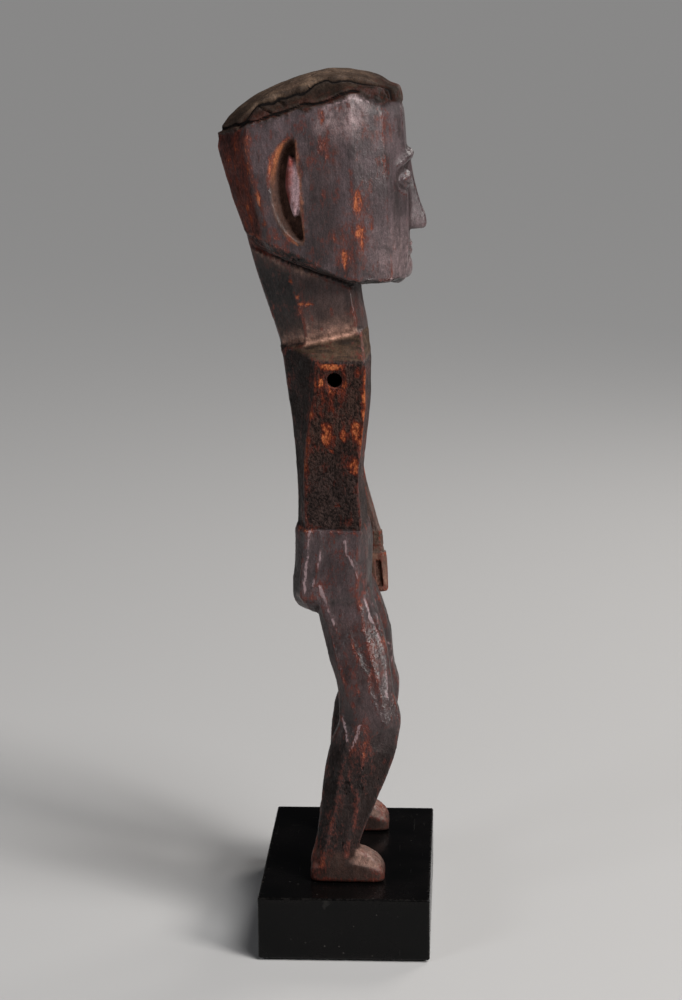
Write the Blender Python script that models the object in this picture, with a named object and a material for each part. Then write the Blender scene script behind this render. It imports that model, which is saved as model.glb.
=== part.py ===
"""Carved standing ancestor figure with a pegged arm, on a lacquered display block.

The figure faces -Y and its left is +X. The origin is the centre of the felt's underside.
Every carved shape is a loft: rings of corners stacked on each other, joined by flat knife facets.
"""

import math

import bmesh
import bpy
from mathutils import Matrix, Vector

MM = 0.001

# Stand
BLOCK_LENGTH = 120.0
BLOCK_DEPTH = 80.0
BLOCK_HEIGHT = 30.0
BLOCK_EDGE = 0.8
FELT_THICK = 0.9
FELT_INSET = 1.5
FIT_GAP = 0.3

# Mounting pins, one under each foot
PIN_RADIUS = 2.0
PIN_STAND_OUT = 17.0
PIN_IN_BLOCK = 11.0
PIN_Y = 4.0
FOOT_X = 33.0

# Figure, measured up from its soles
CROWN_Z = 375.5
EYE_Z = 327.0
BROW_Z = 334.0
NOSE_BASE_Z = 303.5
MOUTH_Z = 295.0
JAW_Z = 280.0
FACE_Y = -29.0
JAW_EDGE_Z = 282.4
JAW_RISE = 0.36
CAP_EDGE_Z = 363.2
CAP_EDGE_TOP_Z = 367.0
CAP_FALL = 0.29
EAR_LOW = (16.6, 298.5)
EAR_HIGH = (20.2, 347.0)
EAR_BULGE = 12.6
EAR_DEPTH = 4.2
KNEE_Z = 77.0
LEFT_KNEE_BACK = 2.4

# Arm pivot: a wooden peg across each flat shoulder side
SHOULDER_X = 26.0
PIVOT_Y = 4.0
PIVOT_Z = 237.0
BORE_RADIUS = 3.5
BORE_DEPTH = 15.0
PEG_RADIUS = 3.1
ARM_HOLE_RADIUS = 3.4
PEG_HEAD_RADIUS = 4.8
PEG_HEAD_THICK = 2.4
ARM_CLEARANCE = 0.6
ARM_THICK = 8.0

ROUND_SIDES = 32

# name: (colour, roughness, metallic)
FINISHES = {
    "black_lacquer": ((0.012, 0.011, 0.011), 0.25, 0.0),
    "felt": ((0.02, 0.02, 0.02), 0.95, 0.0),
    "steel": ((0.55, 0.55, 0.56), 0.35, 1.0),
    "carved_wood": ((0.10, 0.055, 0.042), 0.5, 0.0),
    "arm_wood": ((0.17, 0.08, 0.05), 0.55, 0.0),
    "peg_wood": ((0.14, 0.075, 0.045), 0.6, 0.0),
}


def clear_scene():
    for obj in list(bpy.data.objects):
        bpy.data.objects.remove(obj, do_unlink=True)


def finish(name):
    """One Principled material, made once for each finish."""
    material = bpy.data.materials.get(name)
    if material is None:
        colour, roughness, metallic = FINISHES[name]
        material = bpy.data.materials.new(name)
        material.use_nodes = True
        shader = material.node_tree.nodes["Principled BSDF"]
        shader.inputs["Base Color"].default_value = (*colour, 1.0)
        shader.inputs["Roughness"].default_value = roughness
        shader.inputs["Metallic"].default_value = metallic
    return material


def add_object(name, mesh, parent, finish_name=None):
    obj = bpy.data.objects.new(name, mesh)
    bpy.context.scene.collection.objects.link(obj)
    obj.parent = parent
    if finish_name:
        mesh.materials.append(finish(finish_name))
    return obj


def add_empty(name, place, parent=None):
    empty = bpy.data.objects.new(name, None)
    bpy.context.scene.collection.objects.link(empty)
    empty.location = Vector(place) * MM
    empty.parent = parent
    return empty


def hide_helper(obj):
    obj.hide_render = True
    obj.display_type = "WIRE"


def loft_mesh(name, rings):
    """A closed skin over rings of (x, y, z) corners in millimetres, all with the same count."""
    bm = bmesh.new()
    levels = [[bm.verts.new(Vector(corner) * MM) for corner in ring] for ring in rings]
    count = len(rings[0])
    for low, high in zip(levels, levels[1:]):
        for i in range(count):
            j = (i + 1) % count
            bm.faces.new((low[i], low[j], high[j], high[i]))
    bm.faces.new(levels[0])
    bm.faces.new(levels[-1])
    bmesh.ops.triangulate(bm, faces=bm.faces)
    bmesh.ops.recalc_face_normals(bm, faces=bm.faces)
    mesh = bpy.data.meshes.new(name)
    bm.to_mesh(mesh)
    bm.free()
    return mesh


def both_sides(half):
    """A full ring from the corners of its +X half, listed from front to back."""
    return list(half) + [(-x, y, z) for x, y, z in reversed(half)]


def mirrored(rings):
    return [[(-x, y, z) for x, y, z in ring] for ring in rings]


def round_bar(name, radius, start, end):
    """A cylinder between two points in millimetres."""
    start = Vector(start) * MM
    end = Vector(end) * MM
    turn = (end - start).to_track_quat("Z", "Y").to_matrix().to_4x4()
    bm = bmesh.new()
    bmesh.ops.create_cone(
        bm,
        cap_ends=True,
        segments=ROUND_SIDES,
        radius1=radius * MM,
        radius2=radius * MM,
        depth=(end - start).length,
        matrix=Matrix.Translation((start + end) / 2) @ turn,
    )
    mesh = bpy.data.meshes.new(name)
    bm.to_mesh(mesh)
    bm.free()
    mesh.shade_smooth()
    mesh.set_sharp_from_angle(angle=math.radians(40))
    return mesh


def boolean(target, other, operation):
    hide_helper(other)
    modifier = target.modifiers.new(other.name, "BOOLEAN")
    modifier.operation = operation
    modifier.solver = "EXACT"
    modifier.object = other


def join_shape(target, name, rings):
    boolean(target, add_object(name, loft_mesh(name, rings), target.parent), "UNION")


def cut_shape(target, name, rings):
    boolean(target, add_object(name, loft_mesh(name, rings), target.parent), "DIFFERENCE")


def cut_bore(target, name, radius, start, end):
    cutter = add_object(name, round_bar(name, radius, start, end), target.parent)
    boolean(target, cutter, "DIFFERENCE")


def torso_rings():
    """Hips to shoulders: a broad front, flat sides and a narrow back, cut in at the waist."""
    # z, front (x, y), side front (x, y), side rear (x, y), back (x, y)
    stations = [
        (123.5, (16.0, -12.0), (23.0, -8.0), (21.0, 16.0), (12.0, 21.5)),
        (128.0, (17.5, -12.5), (25.2, -7.0), (23.5, 18.5), (14.0, 24.6)),
        (142.0, (18.0, -10.6), (24.6, -5.4), (23.2, 20.0), (13.5, 24.6)),
        (156.0, (18.0, -10.0), (22.6, -6.0), (21.6, 18.4), (12.5, 23.6)),
        (163.0, (17.5, -9.6), (21.5, -8.0), (21.5, 17.6), (12.5, 23.2)),
        (176.0, (18.5, -8.8), (22.5, -7.5), (22.5, 18.4), (12.0, 23.0)),
        (190.0, (20.0, -8.0), (24.0, -7.0), (24.0, 18.4), (11.5, 23.3)),
        (205.0, (21.0, -9.4), (25.5, -8.2), (25.5, 17.4), (11.0, 24.4)),
        (216.0, (21.5, -10.8), (SHOULDER_X, -9.4), (SHOULDER_X, 16.0), (10.5, 25.4)),
        (227.0, (22.0, -11.6), (SHOULDER_X, -10.4), (SHOULDER_X, 14.2), (10.0, 27.0)),
        (245.5, (21.0, -11.8), (SHOULDER_X, -10.4), (SHOULDER_X, 12.4), (10.0, 29.4)),
    ]
    rings = [
        both_sides([(x, y, z) for x, y in corners]) for z, *corners in stations
    ]
    neck_base = [(11.0, -10.8, 256.5), (17.2, -8.0, 257.5)]
    neck_base += [(17.5, 20.0, 251.5), (9.0, 30.6, 249.0)]
    rings.append(both_sides(neck_base))
    return rings


def neck_rings():
    """The neck leans back as it rises into the head."""
    # z, front (x, y), side front (x, y), side rear (x, y), back (x, y)
    stations = [
        (240.0, (10.0, -10.6), (16.5, -7.0), (16.5, 17.0), (8.0, 27.6)),
        (256.0, (10.5, -10.6), (17.0, -6.4), (17.0, 17.5), (8.0, 31.8)),
        (275.0, (10.0, -7.8), (16.8, -3.6), (17.4, 22.0), (9.0, 37.8)),
        (290.0, (10.0, -6.0), (17.0, -2.0), (18.0, 25.0), (10.5, 42.2)),
        (301.0, (10.0, -5.0), (17.0, -1.0), (18.5, 27.0), (11.0, 45.0)),
    ]
    return [both_sides([(x, y, z) for x, y in corners]) for z, *corners in stations]


def jaw_edge(y):
    """The jaw runs level under the face and climbs towards the nape."""
    return JAW_EDGE_Z + max(0.0, y + 4.0) * JAW_RISE


def cap_edge(y):
    """The cap's lower edge climbs from the back of the head and levels out over the forehead."""
    return min(CAP_EDGE_Z - CAP_FALL * y, CAP_EDGE_TOP_Z)


def crown_height(y):
    """The top of the cap is highest above the ears and falls away slowly."""
    return CROWN_Z - 0.5 - 0.0075 * (y - 1.0) ** 2


def shrunk(corners, share, middle_y):
    """The same corners drawn in towards the middle of the crown."""
    return [(x * share, middle_y + (y - middle_y) * share) for x, y, _ in corners]


def head_rings():
    """Jaw to crown: flat sides, a sloping back and a low domed cap."""
    under = [(11.0, -25.5), (19.0, -20.0), (24.5, -8.0), (25.0, 27.0), (12.5, 40.4)]
    jaw = [(13.5, -28.4), (22.0, -22.5), (28.6, -8.0), (29.2, 31.0), (14.5, 43.6)]
    cheek = [(15.0, -29.5), (25.0, -21.0), (30.0, -7.0), (30.6, 33.5), (15.0, 46.2)]
    temple = [(16.0, FACE_Y), (26.5, -20.0), (31.5, -6.0), (31.8, 38.5), (16.0, 51.5)]
    brow = [(15.5, -28.0), (26.0, -19.0), (31.5, -5.0), (32.0, 41.8), (17.0, 56.2)]
    rim = [(14.5, -25.2), (24.5, -16.5), (30.5, -3.5), (31.5, 42.0), (17.0, 56.2)]
    rings = [both_sides([(x, y, jaw_edge(y) - 3.0) for x, y in under])]
    rings.append(both_sides([(x, y, jaw_edge(y)) for x, y in jaw]))
    rings.append(both_sides([(x, y, 303.0 + 0.1 * y) for x, y in cheek]))
    rings.append(both_sides([(x, y, 325.0) for x, y in temple]))
    rings.append(both_sides([(x, y, 342.0) for x, y in brow]))
    rings.append(both_sides([(x, y, cap_edge(y)) for x, y in rim]))
    low_dome = [(12.5, -21.5, 369.0), (21.0, -13.5, 369.2), (26.0, -2.0, 368.2)]
    low_dome += [(27.0, 38.0, 358.6), (14.0, 51.5, 354.4)]
    high_dome = [(9.5, -15.5, 372.2), (16.0, -8.0, 372.6), (19.5, 1.0, 372.6)]
    high_dome += [(19.5, 31.0, 366.4), (9.5, 41.5, 362.8)]
    rings.append(both_sides(low_dome))
    rings.append(both_sides(high_dome))
    rings.append(both_sides([(x, y, crown_height(y)) for x, y in shrunk(high_dome, 0.45, 2.0)]))
    rings.append(both_sides([(x, y, CROWN_Z) for x, y in shrunk(high_dome, 0.15, 1.0)]))
    return rings


def leg_rings(knee_back=0.0):
    """A leg on the +X side: bent at the knee, spread outwards, an eight-sided section."""
    # z, centre x, half-width, front y, side front y, side rear y, back y
    stations = [
        (136.0, 12.5, 10.8, -11.0, -6.0, 12.0, 18.0),
        (128.0, 14.0, 11.2, -14.0, -8.0, 8.5, 13.6),
        (120.0, 16.5, 10.4, -16.7, -9.5, 5.5, 11.6),
        (105.0, 21.5, 10.0, -20.2, -12.5, 1.5, 7.7),
        (90.0, 25.5, 9.5, -22.6, -17.0, -3.5, 3.4),
        (77.0, 28.0, 9.2, -26.0, -20.0, -5.0, 3.0),
        (67.0, 29.3, 8.8, -24.6, -16.5, -1.0, 6.6),
        (50.0, 30.6, 8.4, -19.4, -11.0, 2.5, 10.2),
        (34.0, 31.6, 8.2, -12.6, -6.5, 5.0, 11.9),
        (18.0, 32.5, 8.2, -6.8, -2.5, 9.0, 14.3),
        (9.0, 33.0, 8.2, -4.8, -1.0, 11.0, 16.6),
        (2.0, 33.0, 7.6, -4.0, -1.0, 10.5, 16.0),
    ]
    rings = []
    for z, x, half, front, side_front, side_rear, back in stations:
        shift = knee_back * math.exp(-(((z - KNEE_Z) / 18.0) ** 2))
        narrow = 0.42 * half
        ring = [(x - narrow, front), (x + narrow, front), (x + half, side_front)]
        ring += [(x + half, side_rear), (x + narrow, back), (x - narrow, back)]
        ring += [(x - half, side_rear), (x - half, side_front)]
        rings.append([(corner_x, corner_y + shift, z) for corner_x, corner_y in ring])
    return rings


def foot_rings():
    """The left foot, lofted from heel to toe with a sloping top."""
    # y, half-width, top half-width, side height, top height
    stations = [
        (16.7, 4.4, 2.6, 4.5, 7.0),
        (15.2, 7.2, 4.0, 6.5, 10.0),
        (6.0, 8.3, 4.6, 9.6, 15.0),
        (-4.0, 8.4, 4.8, 9.2, 14.8),
        (-9.5, 8.4, 4.8, 8.0, 13.8),
        (-13.6, 8.2, 4.4, 6.6, 11.6),
        (-16.6, 7.2, 3.8, 5.2, 8.2),
        (-18.2, 5.0, 2.6, 3.4, 4.8),
    ]
    rings = []
    for y, half, top_half, side, top in stations:
        outline = [(-half, 0.0), (half, 0.0), (half, side), (top_half, top)]
        outline += [(-top_half, top), (-half, side)]
        rings.append([(FOOT_X + x, y, z) for x, z in outline])
    return rings


def nose_rings():
    """A straight wedge nose, widening to its base."""
    # z, half-width at the face, half-width of the ridge, how far the ridge stands out
    stations = [
        (BROW_Z, 3.0, 1.8, 1.5),
        (EYE_Z, 3.4, 1.6, 2.6),
        (NOSE_BASE_Z + 8.0, 5.4, 2.2, 6.4),
        (NOSE_BASE_Z + 2.5, 7.2, 3.0, 8.4),
        (NOSE_BASE_Z, 6.6, 2.8, 7.2),
    ]
    rings = []
    for z, half, ridge, out in stations:
        outline = [(-half, 4.0), (half, 4.0), (half, 0.0)]
        outline += [(ridge, -out), (-ridge, -out), (-half, 0.0)]
        rings.append([(x, FACE_Y + y, z) for x, y in outline])
    return rings


def brow_rings(side):
    """A low ridge over one eye, running from beside the nose to the temple."""
    # x, lowest z, highest z, y of its face
    stations = [
        (2.0, -1.5, 4.0, -2.4),
        (9.0, 0.5, 5.0, -2.0),
        (16.0, 0.2, 4.6, 0.2),
        (21.5, -1.6, 2.4, 5.0),
    ]
    rings = []
    for x, low, high, out in stations:
        outline = [(7.0, low), (out, low), (out, (low + high) / 2), (out + 1.2, high), (7.0, high)]
        rings.append([(side * x, FACE_Y + y, BROW_Z + z) for y, z in outline])
    return rings


def almond(centre, half_length, half_height):
    """Eight corners round a pointed oval, as (along, up)."""
    corners = []
    for step in range(8):
        turn = step * math.pi / 4
        along = half_length * math.cos(turn)
        up = half_height * math.sin(turn) * (1.0 - 0.25 * abs(math.cos(turn)))
        corners.append((centre[0] + along, centre[1] + up))
    return corners


def eye_rings(side):
    """A closed, gently swelling eyelid."""
    rings = []
    for scale, y in ((1.0, 7.0), (1.0, 0.6), (0.55, -0.9)):
        oval = almond((side * 12.0, EYE_Z), 6.2 * scale, 3.2 * scale)
        rings.append([(x, FACE_Y + y + 0.09 * (abs(x) - 12.0), z) for x, z in oval])
    return rings


def lip_rings():
    """One band for both lips, parted by a shallow cut."""
    # x, half-height, y of its face
    stations = [
        (-10.0, 1.2, 1.6),
        (-5.0, 3.2, -1.4),
        (0.0, 3.8, -2.2),
        (5.0, 3.2, -1.4),
        (10.0, 1.2, 1.6),
    ]
    rings = []
    for x, half, out in stations:
        outline = [(6.0, -half), (out + 1.2, -half), (out, -0.35), (out + 0.9, 0.0)]
        outline += [(out, 0.35), (out + 1.2, half), (6.0, half)]
        rings.append([(x, FACE_Y + y, MOUTH_Z + z) for y, z in outline])
    return rings


def chin_rings():
    """A low rounded chin that carries the jaw forward."""
    rings = []
    for scale, y in ((1.0, 6.0), (1.0, 0.2), (0.6, -1.8)):
        half = 9.5 * scale
        low = JAW_Z + 0.8 + (1.0 - scale) * 3.0
        high = JAW_Z + 10.0 - (1.0 - scale) * 6.0
        outline = [(-half * 0.7, low), (half * 0.7, low), (half, low + 3.0), (half * 0.8, high)]
        outline += [(-half * 0.8, high), (-half, low + 3.0)]
        rings.append([(x, FACE_Y + y, z) for x, z in outline])
    return rings


def ear_outline(bulge, trim):
    """A leaning half-moon in (y, z): straight along the front, bowed towards the back."""
    low = Vector(EAR_LOW) + Vector((0.0, trim))
    high = Vector(EAR_HIGH) - Vector((0.0, trim))
    corners = [tuple(low), tuple(high)]
    for step in (1, 2, 3, 4, 5):
        turn = step * math.pi / 6
        along = high.lerp(low, (1.0 - math.cos(turn)) / 2)
        corners.append((along.x + bulge * math.sin(turn), along.y))
    return corners


def ear_hollow_rings(side):
    """The cutter for one hollowed ear, a little smaller at its floor."""
    rings = []
    surface = 31.8
    for x, bulge, trim in (
        (surface + EAR_DEPTH, EAR_BULGE + 0.6, 0.0),
        (surface, EAR_BULGE, 0.0),
        (surface - EAR_DEPTH, EAR_BULGE - 3.0, 3.0),
    ):
        rings.append([(side * x, y, z) for y, z in ear_outline(bulge, trim)])
    return rings


def ear_ridge_rings(side):
    """The lens-shaped ridge left standing in the hollow."""
    rings = []
    for x, scale in ((25.0, 1.0), (29.0, 1.0), (31.4, 0.35)):
        oval = almond((325.0, 22.0), 13.6 * scale, 3.4 * scale)
        rings.append([(side * x, y, z) for z, y in oval])
    return rings


def make_figure(parent):
    figure = add_object("carved_figure", loft_mesh("carved_figure", torso_rings()), parent, "carved_wood")
    join_shape(figure, "neck", neck_rings())
    join_shape(figure, "head", head_rings())
    join_shape(figure, "nose", nose_rings())
    join_shape(figure, "lips", lip_rings())
    join_shape(figure, "chin", chin_rings())
    join_shape(figure, "leg_l", leg_rings(LEFT_KNEE_BACK))
    join_shape(figure, "leg_r", mirrored(leg_rings()))
    join_shape(figure, "foot_l", foot_rings())
    join_shape(figure, "foot_r", mirrored(foot_rings()))
    for label, side in (("l", 1), ("r", -1)):
        join_shape(figure, f"brow_{label}", brow_rings(side))
        join_shape(figure, f"eye_{label}", eye_rings(side))
        cut_shape(figure, f"ear_hollow_{label}", ear_hollow_rings(side))
        join_shape(figure, f"ear_ridge_{label}", ear_ridge_rings(side))
        mouth = (side * (SHOULDER_X + 2.0), PIVOT_Y, PIVOT_Z)
        bottom = (side * (SHOULDER_X - BORE_DEPTH), PIVOT_Y, PIVOT_Z)
        cut_bore(figure, f"peg_bore_{label}", BORE_RADIUS, mouth, bottom)
        below = (side * FOOT_X, PIN_Y, -2.0)
        above = (side * FOOT_X, PIN_Y, PIN_STAND_OUT + 1.0)
        cut_bore(figure, f"sole_bore_{label}", PIN_RADIUS + FIT_GAP, below, above)
    return figure


def arm_rings():
    """The left arm from the rounded shoulder end to the square-cut fingertips, about its pivot."""
    # z, centre y, half-depth, inner x, outer x
    inner = SHOULDER_X + ARM_CLEARANCE
    outer = inner + ARM_THICK
    stations = [
        (244.4, 4.0, 3.0, inner, outer - 1.2),
        (241.6, 4.0, 6.0, inner, outer - 0.4),
        (237.0, 4.0, 7.4, inner, outer),
        (231.0, 3.8, 7.2, inner, outer),
        (222.0, 3.0, 6.2, inner, outer + 0.2),
        (206.0, 1.2, 5.6, inner + 0.2, outer + 0.6),
        (190.0, -1.4, 4.8, inner + 0.6, outer + 0.6),
        (174.0, -5.4, 3.6, inner + 1.4, outer + 0.2),
        (160.0, -10.0, 2.8, inner + 2.2, outer - 0.2),
        (154.2, -12.1, 2.3, inner + 2.6, outer - 0.4),
        (153.2, -12.2, 3.0, inner + 2.0, outer + 0.4),
        (143.8, -12.8, 3.2, inner + 2.0, outer + 0.4),
        (142.8, -12.2, 4.8, inner + 1.6, outer + 1.2),
        (133.0, -12.4, 5.4, inner + 1.6, outer + 1.6),
        (124.0, -12.8, 5.5, inner + 1.8, outer + 1.4),
        (122.6, -12.8, 4.9, inner + 2.4, outer + 0.8),
    ]
    rings = []
    for z, y, half, x_in, x_out in stations:
        outline = [(x_in, y - half * 0.6), (x_in + 1.6, y - half), (x_out - 1.6, y - half)]
        outline += [(x_out, y - half * 0.5), (x_out, y + half * 0.5), (x_out - 1.6, y + half)]
        outline += [(x_in + 1.6, y + half), (x_in, y + half * 0.6)]
        rings.append([(x, v - PIVOT_Y, z - PIVOT_Z) for x, v in outline])
    return rings


def thumb_slot_rings():
    """The cutter that parts the thumb from the fingers on the palm side."""
    rings = []
    for x in (26.0, 30.0):
        outline = [(-15.6, 124.9), (-13.4, 124.9), (-12.6, 139.4), (-14.4, 139.4)]
        rings.append([(x, y - PIVOT_Y, z - PIVOT_Z) for y, z in outline])
    return rings


def make_arm(pivot):
    arm = add_object("left_arm", loft_mesh("left_arm", arm_rings()), pivot, "arm_wood")
    inner = (SHOULDER_X - 2.0, 0.0, 0.0)
    outer = (SHOULDER_X + 14.0, 0.0, 0.0)
    cut_bore(arm, "arm_bore", ARM_HOLE_RADIUS, inner, outer)
    cut_shape(arm, "thumb_slot", thumb_slot_rings())
    return arm


def make_peg(pivot):
    """A turned peg: a plain shank and a low head that keeps the arm on."""
    start = SHOULDER_X - BORE_DEPTH + FIT_GAP
    head = SHOULDER_X + ARM_CLEARANCE + ARM_THICK + FIT_GAP
    end = head + PEG_HEAD_THICK
    steps = [(start, PEG_RADIUS - 0.5), (start + 0.8, PEG_RADIUS), (head, PEG_RADIUS)]
    steps += [(head, PEG_HEAD_RADIUS), (end - 0.8, PEG_HEAD_RADIUS), (end, PEG_HEAD_RADIUS - 1.0)]
    rings = []
    for x, radius in steps:
        turns = [math.tau * i / ROUND_SIDES for i in range(ROUND_SIDES)]
        rings.append([(x, radius * math.cos(turn), radius * math.sin(turn)) for turn in turns])
    return add_object("left_shoulder_peg", loft_mesh("left_shoulder_peg", rings), pivot, "peg_wood")


def make_pin(name, side, parent):
    low = (side * FOOT_X, PIN_Y, -FIT_GAP - PIN_IN_BLOCK)
    high = (side * FOOT_X, PIN_Y, PIN_STAND_OUT)
    return add_object(name, round_bar(name, PIN_RADIUS, low, high), parent, "steel")


def box_rings(length, depth, low, high):
    x = length / 2
    y = depth / 2
    return [[(-x, -y, z), (x, -y, z), (x, y, z), (-x, y, z)] for z in (low, high)]


def make_block(parent):
    """The display block, with softened edges and a blind hole for each pin."""
    low = FELT_THICK + FIT_GAP
    rings = box_rings(BLOCK_LENGTH, BLOCK_DEPTH, low, low + BLOCK_HEIGHT)
    mesh = loft_mesh("display_block", rings)
    bm = bmesh.new()
    bm.from_mesh(mesh)
    bmesh.ops.dissolve_limit(bm, angle_limit=math.radians(1), verts=bm.verts, edges=bm.edges)
    bmesh.ops.bevel(bm, geom=bm.edges, offset=BLOCK_EDGE * MM, segments=2, affect="EDGES")
    bm.to_mesh(mesh)
    bm.free()
    block = add_object("display_block", mesh, parent, "black_lacquer")
    top = low + BLOCK_HEIGHT
    for label, side in (("l", 1), ("r", -1)):
        start = (side * FOOT_X, PIN_Y, top + 2.0)
        end = (side * FOOT_X, PIN_Y, top - PIN_IN_BLOCK - FIT_GAP)
        cut_bore(block, f"pin_hole_{label}", PIN_RADIUS + FIT_GAP, start, end)
    return block


def make_felt(parent):
    rings = box_rings(BLOCK_LENGTH - 2 * FELT_INSET, BLOCK_DEPTH - 2 * FELT_INSET, 0.0, FELT_THICK)
    return add_object("base_felt", loft_mesh("base_felt", rings), parent, "felt")


def main():
    clear_scene()
    stand = add_empty("stand", (0.0, 0.0, 0.0))
    soles = add_empty("soles", (0.0, 0.0, FELT_THICK + FIT_GAP + BLOCK_HEIGHT + FIT_GAP), stand)
    pivot = add_empty("left_shoulder_pivot", (0.0, PIVOT_Y, PIVOT_Z), soles)
    make_felt(stand)
    make_block(stand)
    make_pin("mounting_pin_left", 1, soles)
    make_pin("mounting_pin_right", -1, soles)
    make_figure(soles)
    make_peg(pivot)
    make_arm(pivot)


main()
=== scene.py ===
import itertools
import math

import bpy
import numpy as np
from mathutils import Matrix, Vector


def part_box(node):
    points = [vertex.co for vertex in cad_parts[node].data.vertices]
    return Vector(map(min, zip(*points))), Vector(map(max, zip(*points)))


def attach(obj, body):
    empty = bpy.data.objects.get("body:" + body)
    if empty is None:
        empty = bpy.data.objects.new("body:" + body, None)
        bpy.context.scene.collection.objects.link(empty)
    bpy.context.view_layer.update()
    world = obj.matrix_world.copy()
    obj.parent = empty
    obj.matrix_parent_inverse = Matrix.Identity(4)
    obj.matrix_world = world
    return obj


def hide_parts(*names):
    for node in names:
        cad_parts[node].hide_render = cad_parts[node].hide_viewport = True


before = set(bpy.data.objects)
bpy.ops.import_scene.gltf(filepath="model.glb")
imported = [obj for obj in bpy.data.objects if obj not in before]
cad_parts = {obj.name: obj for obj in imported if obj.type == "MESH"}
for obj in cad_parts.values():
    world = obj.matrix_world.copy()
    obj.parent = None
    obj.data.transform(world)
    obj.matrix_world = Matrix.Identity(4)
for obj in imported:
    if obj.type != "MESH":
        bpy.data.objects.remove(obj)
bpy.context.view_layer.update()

# The figure faces -Y and its left is +X. Shapes are worked out in millimetres above the soles.
metre = 0.001
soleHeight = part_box("carved_figure")[0].z / metre


# Noise and small numeric helpers, all on whole arrays

def hashCell(cell, seed):
    # folds three whole numbers and a seed into one pseudo-random number from 0 to 1
    whole = cell.astype(np.int64)
    mixed = whole[..., 0] * 73856093 ^ whole[..., 1] * 19349663 ^ whole[..., 2] * 83492791
    mixed = (mixed + seed * 7919) & 0xFFFFFFFF
    mixed = ((mixed ^ (mixed >> 15)) * 2246822519) & 0xFFFFFFFF
    mixed = ((mixed ^ (mixed >> 13)) * 3266489917) & 0xFFFFFFFF
    return ((mixed ^ (mixed >> 16)) & 0xFFFFFF) / 0xFFFFFF


def noise(points, size, seed):
    # value noise, -1 to 1: random numbers at lattice corners, blended with a quintic step
    scaled = points / np.asarray(size, float)
    base = np.floor(scaled)
    part = scaled - base
    part = part ** 3 * (part * (part * 6 - 15) + 10)
    total = np.zeros(len(points))
    for corner in itertools.product((0, 1), repeat=3):
        weight = np.prod(np.where(np.array(corner) == 1, part, 1 - part), axis=1)
        total += weight * hashCell(base + corner, seed)
    return total * 2 - 1


def roughNoise(points, size, seed, octaves=3):
    # a sum of value noises, each half as large and half as strong as the one before
    size = np.asarray(size, float)
    layers = [noise(points, size / 2 ** i, seed + 17 * i) / 2 ** i for i in range(octaves)]
    return sum(layers) / 1.5


def cells(points, size, seed):
    # Worley cells: how much nearer the nearest random point is than the next, and a number for each cell
    scaled = points / np.asarray(size, float)
    base = np.floor(scaled)
    first = np.full(len(points), 9.0)
    second = np.full(len(points), 9.0)
    owner = np.zeros(len(points))
    for offset in itertools.product((-1, 0, 1), repeat=3):
        cell = base + offset
        spot = cell + np.stack([hashCell(cell, seed + i) for i in range(3)], axis=-1)
        distance = np.linalg.norm(scaled - spot, axis=1)
        closer = distance < first
        second = np.where(closer, first, np.minimum(second, distance))
        owner = np.where(closer, hashCell(cell, seed + 3), owner)
        first = np.where(closer, distance, first)
    return second - first, owner


def step(value, start, end):
    # 0 at start, 1 at end, with a smooth S between them; start may be the larger
    part = np.clip((value - start) / (end - start), 0, 1)
    return part * part * (3 - 2 * part)


def between(value, low, high, soft):
    return step(value, low - soft, low + soft) * step(value, high + soft, high - soft)


def bump(distance, width):
    # 1 in the middle, falling away in a bell shape
    return np.exp(-(distance / width) ** 2)


# Lofts: rings of corners stacked into closed skins

def alongStations(rings, parts):
    # a cubic through the stations that never swings past them: its slope at a station is the
    # harmonic mean of the slopes on both sides, and 0 where the two disagree
    run = np.linalg.norm(np.diff(rings.mean(axis=1), axis=0), axis=1)[:, None, None]
    side = np.diff(rings, axis=0) / run
    same = side[:-1] * side[1:]
    inner = np.where(same > 0, 2 * same / np.where(same > 0, side[:-1] + side[1:], 1), 0)
    slope = np.concatenate([side[:1], inner, side[-1:]])
    t = (np.arange(parts) / parts)[:, None, None, None]
    low = rings[:-1] * (2 * t ** 3 - 3 * t ** 2 + 1) + slope[:-1] * run * (t ** 3 - 2 * t ** 2 + t)
    high = rings[1:] * (3 * t ** 2 - 2 * t ** 3) + slope[1:] * run * (t ** 3 - t ** 2)
    curve = (low + high).transpose(1, 0, 2, 3).reshape(-1, *rings.shape[1:])
    return np.concatenate([curve, rings[-1:]])


def facetGrid(rings, along=6, across=4):
    # flat facets between neighbouring corners, curved along the stations
    rings = alongStations(np.asarray(rings, float), along)
    share = np.arange(across)[:, None] / across
    ahead = np.roll(rings, -1, axis=1)
    grid = rings[:, :, None] * (1 - share) + ahead[:, :, None] * share
    return grid.reshape(len(rings), -1, 3)


def bothSides(half):
    # whole rings from their +x halves, which run from front to back
    half = np.asarray(half, float)
    return np.concatenate([half, half[:, ::-1] * (-1, 1, 1)], axis=1)


def closedSkin(grid):
    # quads between rows that close on themselves, and a fan to the middle of each end row
    rows, columns, _ = grid.shape
    index = np.arange(rows * columns).reshape(rows, columns)
    beside = np.roll(index, -1, axis=1)
    quads = np.stack([index[:-1], beside[:-1], beside[1:], index[1:]], axis=-1).reshape(-1, 4)
    middle = rows * columns
    firstFan = np.stack([beside[0], index[0], np.full(columns, middle)], axis=-1)
    lastFan = np.stack([index[-1], beside[-1], np.full(columns, middle + 1)], axis=-1)
    points = np.concatenate([grid.reshape(-1, 3), [grid[0].mean(axis=0), grid[-1].mean(axis=0)]])
    triangles = np.concatenate([quads[:, :3], quads[:, [0, 2, 3]], firstFan, lastFan])
    a, b, c = points[triangles].transpose(1, 0, 2)
    order = 1 if np.sum(a * np.cross(b, c)) > 0 else -1
    faces = [part[:, ::order].tolist() for part in (quads, firstFan, lastFan)]
    return points, faces[0] + faces[1] + faces[2]


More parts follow.
